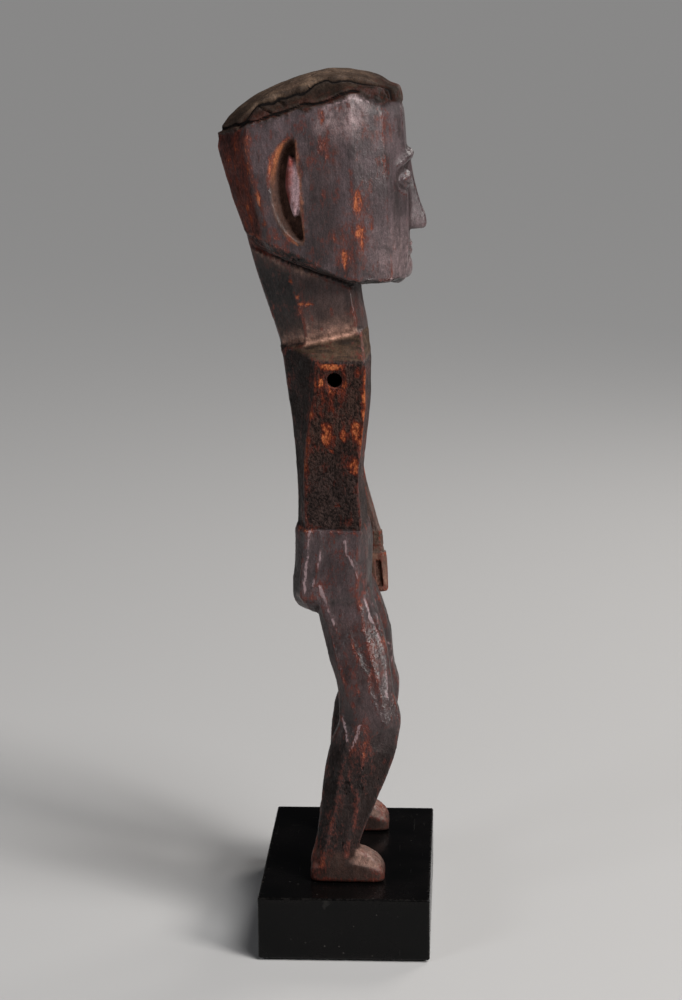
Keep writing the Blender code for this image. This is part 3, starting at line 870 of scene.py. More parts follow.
# heights where one finish gives way to the next
finishLines = {
    "waist": 166.2, "crotch": 123.0, "kneeLow": 58.0, "kneeHigh": 86.0, "ankle": 15.5, "neckFoot": 251.0,
}
cuts = {
    # long scoops of the knife, on both sides of the body:
    # middle (y, height), half-width, half-height, lean (y for each mm of height), depth
    "scoops": [
        ((17.0, 148.0), 3.6, 13.5, -0.06, 0.75),
        ((5.5, 146.0), 8.5, 17.0, -0.10, 0.35),
        ((-4.0, 146.5), 3.6, 8.5, -0.35, 0.7),
        ((2.0, 113.0), 6.2, 20.0, 0.36, 0.4),
        ((-9.0, 110.0), 4.0, 14.0, 0.42, 0.65),
        ((-8.5, 84.0), 7.0, 12.0, 0.38, 0.45),
        ((-16.5, 88.0), 3.4, 12.0, 0.34, 0.8),
        ((-12.0, 68.5), 6.5, 6.5, -0.1, 0.5),
        ((-2.0, 56.0), 5.5, 13.0, -0.30, 0.5),
        ((2.0, 30.0), 5.0, 14.0, -0.25, 0.35),
    ],
    "facetSize": (9.0, 9.0, 24.0),
    "facetDepth": 0.28,
    "facetTilt": 0.22,
    "headFacetSize": (16.0, 11.0, 20.0),
    "headFacetDepth": 0.16,
    "headFacetTilt": 0.14,
    # how much of the knife work is left off the face
    "faceCalm": 0.85,
    "socketDepth": 1.0,
    "closedLineDepth": 0.35,
    "arrisHeight": 0.45,
    "capLift": 0.1,
    "capLedge": 0.75,
    "fissureDepth": 1.1,
    "padDepth": 0.15,
    "jawSlope": 0.35,
    "waistDepth": 0.4,
    "neckLedge": 0.4,
    # the cuts between the toes, across the foot from its middle
    "toeGaps": (-4.6, -1.6, 1.5, 4.4),
    "toeDepth": 0.9,
    "boreFunnel": 0.75,
}


def scoopDepth(points, normals):
    # each scoop is a shallow dish, deepest in its middle, whose rim stays sharp
    depth = np.zeros(len(points))
    sideways = step(np.abs(normals[:, 0]), 0.35, 0.7)
    for (y, height), halfWidth, halfHeight, lean, deep in cuts["scoops"]:
        up = points[:, 2] - height
        across = points[:, 1] - y - lean * up
        reach = (across / halfWidth) ** 2 + (up / halfHeight) ** 2
        depth = np.maximum(depth, deep * np.clip(1 - reach, 0, 1) ** 0.8)
    return depth * sideways


def earPlace(points):
    # 0 at the front edge of the ear and 1 at its back edge, and how far up it, 0 to 1
    up = (points[:, 2] - ear["low"][1]) / (ear["high"][1] - ear["low"][1])
    front = ear["low"][0] + (ear["high"][0] - ear["low"][0]) * up
    width = ear["bow"] * 2 * np.sqrt(np.clip(up * (1 - up), 1e-4, 1))
    return (points[:, 1] - front) / width, up


def slopeEdges(y):
    # the shoulder slope between the top of the pad and the foot of the neck, a wedge towards the back
    low = 245.8 + np.maximum(0.0, y - 12.6) * 0.33
    high = 256.3 - 0.22 * y
    return low, high


def jawBandTop(y):
    # the chamfer under the jaw, painted dark as its shadow, broad at the nape and gone under the face
    return jawEdge(y) + 0.4 + 3.8 * step(y, -2.0, 26.0)


def figureWaist(points):
    # the uneven line where the crusted trunk meets the polished hips
    return finishLines["waist"] + noise(points, 7.0, 54) * 0.7


def figureRegions(points, normals):
    # masks from 0 to 1 for the parts of the figure that are finished in their own ways
    x = np.abs(points[:, 0])
    y, z = points[:, 1], points[:, 2]
    ragged = noise(points, 5.0, 3) * 1.1 + noise(points, 1.8, 4) * 0.6
    above = step(z - jawEdge(y), -4.4, -3.4)
    region = {"head": above * step(z, 276.0, 278.0)}
    region["cap"] = step(z - hairLine(y) + ragged, -0.4, 0.6) * region["head"]
    chamfer = jawBandTop(y) + 0.5 * noise(points, 3.0, 5)
    region["shadedJawBand"] = region["head"] * step(z - chamfer, 0.4, -0.5) * step(x, 9.0, 17.5)
    region["headBack"] = region["head"] * step(y - 0.17 * (z - 325.0) + ragged * 0.6, 38.5, 41.5)
    region["headBack"] *= 1 - region["cap"]
    region["faceFront"] = region["head"] * step(y, -19.0, -25.0) * (1 - region["cap"])
    across, up = earPlace(points)
    inside = between(across, -0.06, 1.02, 0.05) * between(up, -0.01, 1.01, 0.01)
    region["earHollow"] = inside * step(x, 31.7, 31.1) * step(x, 20.0, 24.0) * region["head"]
    ends = step(up, 0.5, 0.8) + 0.8 * step(up, 0.16, 0.04)
    rim = between(across, 0.72, 1.06, 0.05) * between(up, -0.03, 1.03, 0.02) * ends
    region["earRim"] = rim * region["head"] * step(x, 28.0, 30.0)
    front = between(across, -0.09, 0.03, 0.03) * between(up, 0.05, 0.98, 0.02)
    region["earFront"] = front * step(x, 27.5, 29.5)
    ridgeUp = z - ear["ridgeMiddle"][1]
    ridgeAcross = (y - ear["ridgeMiddle"][0] - ridgeUp * ear["lean"]) / 3.4
    ridge = step(ridgeAcross ** 2 + (ridgeUp / 14.6) ** 2, 1.1, 0.8)
    region["earRidge"] = ridge * step(x, 28.0, 29.6) * region["head"]
    neckFoot, ankle = finishLines["neckFoot"], finishLines["ankle"]
    region["neck"] = (1 - region["head"]) * step(z, neckFoot - 2.0, neckFoot + 2.0)
    slopeLow, slopeHigh = slopeEdges(y)
    region["slope"] = between(z, slopeLow, slopeHigh, 0.5) * (1 - region["head"])
    waist = figureWaist(points)
    region["trunk"] = step(z - waist, -0.6, 0.6) * step(z, slopeLow + 0.6, slopeLow - 0.6)
    region["pad"] = region["trunk"] * step(np.abs(normals[:, 0]), 0.75, 0.93)
    crotch, kneeLow, kneeHigh = finishLines["crotch"], finishLines["kneeLow"], finishLines["kneeHigh"]
    region["hips"] = step(z - waist, 0.6, -0.6) * step(z, crotch - 2.0, crotch + 1.0)
    region["thigh"] = step(z, crotch + 3.0, crotch - 2.0) * step(z, kneeLow, kneeHigh)
    region["shin"] = step(z, kneeHigh, kneeLow) * step(z, ankle - 2.5, ankle + 1.5)
    region["foot"] = step(z, finishLines["ankle"] + 2.0, finishLines["ankle"] - 1.5)
    return region


# the web of cracks in the cap's low band, and how the band spreads towards the back
capWeb = {"size": (8.0, 15.0, 8.0), "seed": 21, "spread": 0.125}


def ramp(distance, reach=2.0):
    # 1 on a line and 0 at its reach, so that the material can cut it to a thin crisp line
    return np.clip(1 - distance / reach, 0, 1)


def capFissures(points, region):
    # a crack along each side of the dome, one above the cap's edge, short ones on top and a web low down
    x = np.abs(points[:, 0])
    y, z = points[:, 1], points[:, 2]
    sidePoints = points * (0.2, 1, 0)
    wander = noise(sidePoints, 9.0, 11) * 2.0 + noise(sidePoints, 3.4, 12) * 1.1
    long = ramp(np.abs(x - 21.0 - capWeb["spread"] * y - wander), 4.6)
    low = ramp(np.abs(z - hairLine(y) - 1.8 - wander * 0.5), 2.4) * step(y, -14.0, -6.0)
    inner = ramp(np.abs(x - 11.0 - 0.10 * y - wander * 1.8)) * step(noise(points, 9.0, 13), 0.15, 0.45)
    border, _ = cells(points + wander[:, None], capWeb["size"], capWeb["seed"])
    lowBand = step(x - capWeb["spread"] * y, 17.0, 21.0)
    web = ramp(border * 8.0) * step(noise(points, 9.0, 14), 0.0, 0.3) * lowBand
    return np.max([long, low, inner, web], axis=0) * region["cap"]


def faceMasks(points, region):
    # the sunk socket round each lid, and the lines where the lids and the lips meet
    x = np.abs(points[:, 0])
    z = points[:, 2]
    across = x - face["eyeApart"]
    up = z - face["eyeHeight"]
    socket = step((across / face["socket"][0]) ** 2 + ((up - 0.6) / face["socket"][1]) ** 2, 1.3, 0.5)
    lid = step((across / face["lid"][0]) ** 2 + (up / face["lid"][1]) ** 2, 1.2, 0.9)
    lash = ramp(np.abs(up + 2.3 - 0.036 * across ** 2)) * step(np.abs(across), 7.4, 6.4)
    lips = ramp(np.abs(z - mouthLine(x))) * step(x, 10.6, 9.6)
    return socket * (1 - lid) * region["faceFront"], np.maximum(lash, lips) * region["faceFront"]


def carveFigure(obj):
    points = readPoints(obj)
    normals = readNormals(obj)
    x, y, z = np.abs(points[:, 0]), points[:, 1], points[:, 2]
    region = figureRegions(points, normals)
    calm = 1 - cuts["faceCalm"] * region["faceFront"]
    # knife facets: dished cells whose borders stand up as arrises
    border, owner = cells(points, cuts["facetSize"], 31)
    dish = np.clip(border / 0.5, 0, 1) ** 0.8
    body = (1 - region["head"]) * (1 - region["pad"]) * (1 - 0.6 * region["foot"])
    push = -cuts["facetDepth"] * dish * body + cuts["facetTilt"] * (owner - 0.5) * body
    headBorder, headOwner = cells(points, cuts["headFacetSize"], 37)
    headDish = np.clip(headBorder / 0.6, 0, 1)
    skull = region["head"] * calm * (1 - region["earHollow"]) * (1 - region["earRidge"])
    push += (-cuts["headFacetDepth"] * headDish + cuts["headFacetTilt"] * (headOwner - 0.5)) * skull
    socket, closedLines = faceMasks(points, region)
    push -= socket * cuts["socketDepth"] + step(closedLines, 0.4, 0.9) * cuts["closedLineDepth"]
    # scoops, and the sharp arrises between them
    push -= scoopDepth(points, normals) * (1 - region["head"])
    crease = linesRamp(points, wearAndSheen["paleLines"]) * (1 - region["head"]) * (1 - region["trunk"])
    push += crease ** 2 * cuts["arrisHeight"] * step(np.abs(normals[:, 0]), 0.3, 0.6)
    # the cap stands proud of the skull in a ragged ledge, and is split by long fissures
    fissures = capFissures(points, region)
    lumps = noise(points, (7.0, 12.0, 7.0), 41) * 0.28 + noise(points, 2.6, 42) * 0.1
    edge = step(z - hairLine(y), -6.0, 0.0) * region["head"] * (1 - region["cap"])
    push += region["cap"] * (cuts["capLift"] + lumps * 0.7)
    push -= step(fissures, 0.5, 0.95) * cuts["fissureDepth"] + edge * cuts["capLedge"]
    # crusted pads: low lumps and pits; a sloping, rough underside of the jaw; a groove at the waist
    lumps = noise(points, 2.4, 51) * 0.16 + noise(points, 6.0, 52) * 0.12
    push += region["pad"] * (lumps - cuts["padDepth"])
    band = region["shadedJawBand"] * np.clip(jawBandTop(y) - z, 0, 4)
    push += region["shadedJawBand"] * noise(points, (2.6, 2.6, 1.4), 53) * 0.3 - band * cuts["jawSlope"]
    push -= bump(z - figureWaist(points), 0.9) * cuts["waistDepth"]
    # a low ledge where the neck stands on the shoulders
    _, slopeHigh = slopeEdges(y)
    ledge = bump(z - slopeHigh, 0.9) - bump(z - slopeHigh - 1.8, 1.2)
    push += ledge * cuts["neckLedge"] * step(x, 9.0, 12.0)
    grainLines = noise(points, (9.0, 9.0, 0.9), 55) * 0.16 + noise(points, (5.0, 5.0, 2.0), 56) * 0.14
    push += region["slope"] * grainLines
    # toes: shallow cuts down the front of each foot
    across = x - foot["middle"]
    toeLine = np.min([np.abs(across - gap) for gap in cuts["toeGaps"]], axis=0)
    toes = step(toeLine, 0.9, 0.1) * step(y, -11.5, -14.5) * region["foot"]
    push -= toes * cuts["toeDepth"] * step(z, 1.0, 3.0)
    # overall unevenness of hand work
    uneven = noise(points, (7.0, 7.0, 16.0), 61) * 0.16 + noise(points, (2.2, 2.2, 7.0), 62) * 0.06
    push += uneven * (1 - region["earRidge"]) * calm * step(z, 0.6, 2.5)
    writePoints(obj, points + normals * push[:, None])


def roundMouth(obj):
    # the lip of each shoulder bore is worn back in a shallow funnel
    points = readPoints(obj)
    out, y, z = bores["shoulder"]
    radius = np.hypot(points[:, 1] - y, points[:, 2] - z)
    lip = step(radius, bores["shoulderRadius"] + 2.0, bores["shoulderRadius"] + 0.2)
    lip *= step(np.abs(points[:, 0]), out - 2.0, out - 1.0)
    points[:, 0] -= np.sign(points[:, 0]) * lip * cuts["boreFunnel"]
    writePoints(obj, points)


def cutBores(obj):
    skins = []
    out, y, z = bores["shoulder"]
    x, ySole = bores["sole"]
    depths = np.linspace(out + 3.0, out - bores["shoulderDepth"], 6)
    heights = np.linspace(-3.0, bores["soleDepth"], 6)
    for side in (1, -1):
        shoulder = [(side * depth, bores["shoulderRadius"]) for depth in depths]
        sole = [(height, bores["soleRadius"]) for height in heights]
        skins.append(closedSkin(turned(shoulder, 40, "x", (y, z))))
        skins.append(closedSkin(turned(sole, 32, "z", (side * x, ySole))))
    cutAway(obj, joined(skins))


# Patina of the figure

# tones of the figure, among them painted shadow under the jaw, painted shade on the back of the neck and the
# calves, and painted highlights on the skull, the ear ridge and the tops of the feet
patina = {
    "skull": tone(66, 54, 56), "skullDark": tone(45, 34, 34), "skullHighlight": tone(134, 114, 114),
    "skullRed": tone(84, 44, 34), "cap": tone(74, 59, 49), "capDark": tone(29, 19, 14),
    "capPale": tone(108, 88, 72), "capRed": tone(64, 28, 19), "backRed": tone(50, 18, 10),
    "shadedJawBand": tone(22, 15, 13), "hollow": tone(70, 48, 40), "hollowSide": tone(50, 32, 26),
    "rim": tone(146, 88, 58), "ridge": tone(152, 124, 128), "ridgeRed": tone(132, 48, 34),
    "neck": tone(58, 44, 42), "neckBackShade": tone(22, 16, 15), "dust": tone(190, 144, 124),
    "slope": tone(66, 50, 38), "slopeDark": tone(36, 26, 20), "pad": tone(60, 43, 37),
    "padLow": tone(53, 41, 38), "trunk": tone(36, 26, 23), "hip": tone(63, 51, 52),
    "thigh": tone(50, 37, 36), "redEdge": tone(92, 36, 24),
    "shin": tone(34, 24, 22), "calfShade": tone(26, 18, 16), "knee": tone(46, 36, 36),
    "footTopDustAndHighlight": tone(112, 86, 76), "footSide": tone(50, 35, 30),
}
# marks of wear, and the places of painted sheen and glints
wearAndSheen = {
    # patches of bare wood: (y, height, half-width, half-height)
    "padPatches": [
        (7.4, 212.5, 3.0, 6.2), (0.0, 211.4, 1.8, 3.2), (-5.4, 213.0, 2.3, 5.2), (-4.6, 197.4, 2.1, 4.6),
        (5.5, 204.0, 1.0, 1.2), (5.0, 243.2, 5.5, 1.5), (-6.7, 240.6, 1.9, 2.6), (-9.2, 229.0, 0.8, 3.0),
        (-9.2, 221.0, 0.7, 2.4), (-8.6, 206.0, 1.0, 3.0), (3.0, 178.0, 1.2, 0.7), (10.4, 236.0, 0.9, 2.4),
    ],
    "neckChips": [
        (5.6, 267.0, 1.2, 3.4), (17.0, 270.6, 3.4, 1.0), (21.0, 274.0, 1.3, 0.9),
        (10.0, 259.4, 1.0, 1.0), (14.3, 264.0, 0.9, 1.3), (24.0, 281.0, 1.4, 1.0),
    ],
    "headStreaks": [
        (-7.5, 317.6, 1.7, 6.2), (-13.4, 308.8, 1.2, 3.4), (-8.6, 304.4, 2.4, 5.0), (-1.2, 293.6, 1.6, 4.4),
        (-4.6, 327.0, 1.0, 6.6), (-0.8, 315.0, 1.0, 1.6), (8.4, 356.0, 1.4, 4.0), (31.0, 348.4, 0.9, 2.8),
        (36.4, 320.0, 1.0, 3.4), (34.4, 309.0, 1.0, 1.6), (28.5, 303.0, 1.5, 1.8), (3.0, 303.0, 1.0, 2.0),
    ],
    # pale arrises of the hips and legs, worn and with painted highlights, as (y, height) points
    "paleLines": [
        [(15.9, 166.4), (17.0, 157.6), (18.4, 142.3), (18.8, 136.0)],
        [(11.9, 165.6), (11.2, 157.6), (12.4, 150.0), (14.9, 139.3)],
        [(0.4, 162.2), (-0.5, 156.0), (-3.0, 151.5), (-5.3, 145.4), (-9.7, 131.7), (-12.7, 122.5),
         (-17.6, 109.6), (-19.4, 98.0), (-20.6, 86.5)],
        [(12.0, 141.0), (8.2, 130.8), (3.8, 117.3)],
        [(1.5, 80.0), (-0.4, 72.0), (-2.2, 63.5)],
        [(-9.8, 82.7), (-7.0, 74.0), (-2.2, 63.5)],
    ],
    "redLines": [
        [(3.6, 116.0), (-4.1, 100.0), (-8.9, 86.5)],
        [(12.8, 243.0), (16.0, 216.0), (18.4, 190.0), (18.4, 186.0)],
        [(-10.4, 243.0), (-9.4, 216.0), (-8.2, 198.0)],
    ],
    # where red shows through in many small flecks: (y, height, half-width, half-height)
    "redClouds": [
        (-7.5, 138.0, 4.5, 11.0), (-14.0, 108.0, 4.0, 16.0), (-9.0, 72.0, 3.5, 9.0), (-5.0, 62.0, 3.0, 7.0),
        (45.0, 338.0, 6.0, 20.0), (-4.0, 300.0, 8.0, 14.0), (-9.0, 316.0, 6.0, 10.0), (20.0, 262.0, 5.0, 6.0),
        (12.0, 10.0, 5.0, 9.0), (8.0, 232.0, 9.0, 14.0), (38.0, 312.0, 5.0, 12.0), (-17.0, 350.0, 9.0, 6.0),
        (30.0, 300.0, 8.0, 8.0), (-9.0, 222.0, 2.6, 22.0), (6.0, 340.0, 6.0, 10.0),
    ],
    # the facet below the knee, painted paler as a sheen: (y, height, half-width, half-height)
    "kneeSheen": [(-3.5, 75.0, 4.2, 7.5)],
    "thighSheen": [(-12.5, 118.0, 3.0, 14.0), (-18.0, 96.0, 2.6, 10.0)],
    # what each part adds to the bare wood, to the crust and to the gloss
    "raw": {"headBack": 0.09, "earRim": 0.12, "cap": -0.3, "earHollow": -0.15, "faceFront": -0.1},
    "crust": {"trunk": 0.75, "shin": 0.36, "shadedJawBand": 0.7, "cap": 0.25},
    "gloss": {
        "cap": -0.5, "pad": -0.35, "slope": -0.35, "shin": -0.25, "headBack": -0.25, "earHollow": -0.3,
        "foot": -0.25, "trunk": -0.2,
    },
}


def spots(points, places, side):
    # soft ragged patches on one side of the body: (y, height, half-width, half-height)
    ragged = noise(points, 1.9, 71) * 0.5
    mask = np.zeros(len(points))
    for y, height, halfWidth, halfHeight in places:
        reach = ((points[:, 1] - y) / halfWidth) ** 2 + ((points[:, 2] - height) / halfHeight) ** 2
        mask = np.maximum(mask, step(reach + ragged, 1.6, 0.3))
    return mask * (np.sign(points[:, 0]) == side) * step(np.abs(points[:, 0]), 9.0, 13.0)


def eachSide(points, places):
    return spots(points, places, -1) + spots(points, places, 1)


def linesRamp(points, lines):
    # the ramp beside lines through (y, height) points, measured along y, on both sides of the body
    wander = noise(points, (4.0, 4.0, 8.0), 72) * 0.5
    total = np.zeros(len(points))
    for places in lines:
        heights, along = np.array(sorted((height, y) for y, height in places)).T
        middle = np.interp(points[:, 2], heights, along) + wander
        near = ramp(np.abs(points[:, 1] - middle)) * between(points[:, 2], heights[0], heights[-1], 1.0)
        total = np.maximum(total, near)
    return total


def paintFeel(points, normals, edges):
    # what the paint answers to: streaks, blotches and specks, how a point faces, arrises, hollows, clouds
    return {
        "streak": roughNoise(points, (1.6, 1.6, 16.0), 81),
        "blotch": roughNoise(points, 9.0, 82),
        "speck": roughNoise(points, 1.7, 83),
        "sideways": np.abs(normals[:, 0]),
        "backward": normals[:, 1],
        "upward": normals[:, 2],
        "facing": step(np.abs(normals[:, 0]), 0.5, 0.9),
        "arris": step(standOut(points, normals, edges, 4), 0.05, 0.16),
        "hollow": step(standOut(points, normals, edges, 14), -0.12, -0.5),
        "cloud": eachSide(points, wearAndSheen["redClouds"]),
    }


def templeBand(y, z, rear):
    # leans back as it rises
    return between(y + 0.35 * (z - 356.0), -11.0, rear, 4.0)


def skullLayers(points, region, feel):
    # clouded dark skin, a painted highlight on the temple and the front of the jaw, red behind
    streak, blotch, speck = (feel[key] for key in ("streak", "blotch", "speck"))
    _, y, z = points.T
    # painted highlight where the light falls on the temple and the front of the jaw
    light = 0.9 * templeBand(y, z, 9.0) * step(z, 340.0, 354.0)
    light += 0.5 * step(y, -4.0, -22.0) * step(z, 316.0, 290.0)
    beside = between(y, 4.0, 14.0, 3.0) * between(z, 292.0, 350.0, 8.0) * region["head"]
    return [
        (step(streak + blotch * 0.5, 0.0, 0.7) * 0.7, "skullDark"),
        (light * (0.6 + 0.6 * speck), "skullHighlight"),
        (beside * 0.65, "skullDark"),
        (feel["cloud"] * step(speck + streak * 0.5, -0.1, 0.5) * 0.55, "skullRed"),
        (region["headBack"] * (0.85 + 0.4 * streak), "backRed"),
    ]


def neckLayers(points, region, feel):
    # dark behind as painted shade, dusty above the shoulders and under the jaw
    speck, facing, neckOnly = feel["speck"], feel["facing"], region["neck"]
    _, y, z = points.T
    _, slopeHigh = slopeEdges(y)
    nearBase = np.exp(-np.maximum(0, z - slopeHigh) / 3.4)
    underJaw = np.exp(-np.maximum(0, jawEdge(y) - 3.6 - z) / 1.6) * step(y, 4.0, 18.0)
    return [
        (neckOnly, "neck"),
        # painted shade on the faces of the neck turned to the back
        (neckOnly * step(feel["backward"], 0.1, 0.38) * 0.9, "neckBackShade"),
        (neckOnly * nearBase * facing * (1.0 + 0.8 * speck), "dust"),
        (neckOnly * underJaw * facing * (0.35 + 0.5 * speck), "dust"),
    ]


def trunkLayers(points, region, feel):
    # crusted pads on dark wood, and the layered grain of the shoulder slope with its rim at the foot of the
    # neck, dusty and painted with a highlight
    speck, slope = feel["speck"], region["slope"]
    x, y, z = points.T
    grainLayers = roughNoise(points, (16.0, 9.0, 1.1), 84)
    _, slopeHigh = slopeEdges(y)
    rim = bump(z - slopeHigh, 0.9) * step(np.abs(x), 9.0, 12.0) * feel["facing"]
    return [
        (region["trunk"], "trunk"),
        (region["pad"] * (0.8 + 0.4 * speck), "pad"),
        (region["pad"] * step(z + 8 * feel["blotch"], 212.0, 186.0), "padLow"),
        (slope, "slope"),
        (slope * step(grainLayers, 0.0, 0.5) * 0.8, "slopeDark"),
        # dust and a painted highlight along the ledge where the neck stands
        (rim * (0.55 + 0.6 * speck), "dust"),
    ]


def legLayers(points, region, feel):
    # glossy hips and thighs, darker shins, a painted sheen on the knee, pale tops of the feet from dust and a
    # painted highlight; painted shade where the hips and thighs turn from the sides and on the backs of the
    # shins, and darker in every hollow
    speck, shin, sole = feel["speck"], region["shin"], region["foot"]
    lower = region["hips"] + region["thigh"]
    return [
        (lower, "hip"),
        (region["thigh"] * (0.7 + 0.4 * feel["blotch"]), "thigh"),
        # painted shade on the faces of the hips and thighs turned to the front and back
        (lower * step(feel["sideways"], 0.6, 0.3) * 0.75, "calfShade"),
        (shin, "shin"),
        # painted shade on the backs of the shins
        (shin * step(feel["backward"], 0.1, 0.6), "calfShade"),
        # painted sheen on the facet below the knee
        (eachSide(points, wearAndSheen["kneeSheen"]) * feel["facing"] * 0.7, "knee"),
        (lower * feel["cloud"] * step(speck, -0.2, 0.5) * 0.6, "redEdge"),
        (sole, "footSide"),
        # dust and a painted highlight on the tops of the feet
        (sole * step(feel["upward"], 0.2, 0.6) * (0.8 + 0.4 * speck), "footTopDustAndHighlight"),
        (feel["hollow"] * 0.5, "calfShade"),
    ]


def earLayers(points, region, feel):
    # a dark hollow inside a worn rim, and a ridge painted pale as a highlight, red behind and below
    speck, rim, hollow, ridge = feel["speck"], region["earRim"], region["earHollow"], region["earRidge"]
    _, y, z = points.T
    ridgeRear = step(y - 0.1 * (ear["ridgeMiddle"][1] - z), 20.9, 22.9)
    return [
        (rim * (0.75 + 0.4 * feel["blotch"]), "rim"),
        (hollow, "hollow"),
        (hollow * step(speck, 0.1, 0.6) * 0.5, "hollowSide"),
        (rim * hollow, "rim"),
        (region["earFront"] * (0.5 + 0.5 * speck), "rim"),
        # painted highlight on the ridge
        (ridge, "ridge"),
        (ridge * ridgeRear * (0.7 + 0.5 * speck), "ridgeRed"),
    ]


def capLayers(points, region, feel):
    # painted shadow under the jaw; the cap pale along the grain on top, dark and red towards its edge, black
    # at the nape
    blotch, speck, cap = feel["blotch"], feel["speck"], region["cap"]
    x, y, z = points.T
    _, capTone = cells(points, capWeb["size"], capWeb["seed"])
    along = roughNoise(points, (3.0, 14.0, 3.0), 85)
    lowBand = step(np.abs(x) - capWeb["spread"] * y, 18.5, 22.0) * cap
    redBand = step(z - capEdge(y), 7.0, 1.0) * cap
    return [
        # painted shadow in the chamfer under the jaw
        (region["shadedJawBand"], "shadedJawBand"),
        (cap, "cap"),
        (cap * step(along + blotch * 0.5, 0.1, 0.7) * 0.6, "capPale"),
        (lowBand * (0.65 + 0.35 * capTone), "capDark"),
        (cap * step(y, -8.0, -18.0) * (0.75 + 0.4 * speck), "capDark"),
        (redBand * step(speck + blotch * 0.6, -0.3, 0.4) * 0.85, "capRed"),
        (cap * step(y, 36.0, 50.0) * 0.6, "shadedJawBand"),
    ]


def crackMarks(points, region, feel):
    # fissures of the cap, the broken edge of the jaw, upright cracks, closed lids and lips
    upright = ramp(np.abs(roughNoise(points, (2.4, 2.4, 30.0), 86)) * 9.0)
    upright *= region["shin"] + 0.4 * region["pad"] * step(points[:, 2], 205.0, 190.0)
    jaw = region["shadedJawBand"] * step(feel["speck"], 0.1, 0.5)
    _, closedLines = faceMasks(points, region)
    return np.max([capFissures(points, region), jaw * 0.8, upright * 0.86, closedLines * 0.84], axis=0)


def paleMarks(points, region, feel):
    # pale arrises, worn and with painted highlights, the rim of the skull under the cap with a painted
    # highlight, and the painted glints of the knee, thigh, temple and jaw
    _, y, z = points.T
    lower, uncapped = region["hips"] + region["thigh"], 1 - region["cap"]
    capRim = ramp(np.abs(z - hairLine(y) + 1.2)) * region["head"] * uncapped
    pale = linesRamp(points, wearAndSheen["paleLines"]) * (lower + region["shin"]) * step(feel["facing"], 0.0, 0.3)
    pale *= 0.84 + 0.2 * step(z, 118.0, 134.0) + 0.16 * lower * step(y, 13.0, 15.0)
    pale *= 0.98 + 0.4 * roughNoise(points, (6.0, 6.0, 9.0), 87)
    pale = np.max([pale, 0.56 * feel["arris"] * uncapped, 0.72 * capRim * feel["facing"]], axis=0)
    # painted glints on the knee, the front of the thigh, the temple and the jaw
    glint = step(roughNoise(points, (1.3, 1.3, 3.2), 88), -0.1, 0.5)
    pale += (0.12 + 0.42 * glint) * glintPlaces(points, region) + 0.12 * feel["blotch"]
    return pale * (1 - region["earHollow"]) * (1 - region["earRim"])


def rawMarks(points, region, feel):
    # bare wood: a little everywhere, more on arrises, in the patches and along the red lines
    red = linesRamp(points, wearAndSheen["redLines"]) * (0.75 + 0.9 * roughNoise(points, (3.0, 3.0, 5.0), 89))
    raw = 0.29 + 0.12 * feel["blotch"] + 0.12 * feel["arris"] + 0.06 * feel["streak"]
    raw += 0.30 * spots(points, wearAndSheen["padPatches"], -1) * region["pad"]
    raw += 0.27 * spots(points, wearAndSheen["neckChips"], -1) + 0.19 * spots(points, wearAndSheen["headStreaks"], -1)
    raw += 0.08 * feel["cloud"] * step(feel["sideways"], 0.3, 0.6)
    raw += red * 0.13 + waistDots(points) * 0.2
    across, up = earPlace(points)
    dullRim = between(across, 0.6, 1.2, 0.1) * between(up, 0.14, 0.56, 0.06) * region["head"]
    return raw - 0.16 * dullRim + weighted(region, wearAndSheen["raw"])


def crustMarks(points, region, feel):
    lower = region["hips"] + region["thigh"]
    crust = region["pad"] * (0.8 + 0.2 * step(points[:, 2], 190.0, 206.0)) + weighted(region, wearAndSheen["crust"])
    crust += 0.3 * feel["hollow"] + 0.3 * lower * (1 - feel["facing"])
    return crust * (0.85 + 0.3 * feel["blotch"])


def glossMarks(points, region, feel):
    lower = region["hips"] + region["thigh"]
    gloss = 0.6 + 0.15 * feel["blotch"] + 0.25 * feel["arris"] + 0.25 * lower * feel["facing"]
    return gloss - 0.3 * feel["hollow"] + weighted(region, wearAndSheen["gloss"])


def weighted(region, shares):
    return sum(share * region[name] for name, share in shares.items())


def paintFigure(obj):
    points, normals, edges = readPoints(obj), readNormals(obj), readEdges(obj)
    region = figureRegions(points, normals)
    feel = paintFeel(points, normals, edges)
    layers = []
    for part in (skullLayers, neckLayers, trunkLayers, legLayers, earLayers, capLayers):
        layers += part(points, region, feel)
    setColour(obj, "patina", layered(points, "skull", layers, patina))
    work = {
        "cracks": crackMarks, "pale": paleMarks, "raw": rawMarks, "crust": crustMarks, "gloss": glossMarks,
    }
    for name, marks in work.items():
        setFloat(obj, name, marks(points, region, feel))


def glintPlaces(points, region):
    # places that break into painted glints and sheen: the knee, the front of the thigh, the temple and the
    # jaw
    _, y, z = points.T
    temple = templeBand(y, z, 8.0) * between(z, 344.0, 366.0, 5.0)
    jaw = step(y, -2.0, -16.0) * step(z, 310.0, 292.0) * region["head"]
    leg = eachSide(points, wearAndSheen["kneeSheen"] + wearAndSheen["thighSheen"])
    return leg + (temple + 0.5 * jaw) * (1 - region["cap"])


def waistDots(points):
    # small flecks along the waist
    dots = step(noise(points, 2.4, 91), 0.0, 0.4)
    return dots * bump(points[:, 2] - figureWaist(points), 1.4)


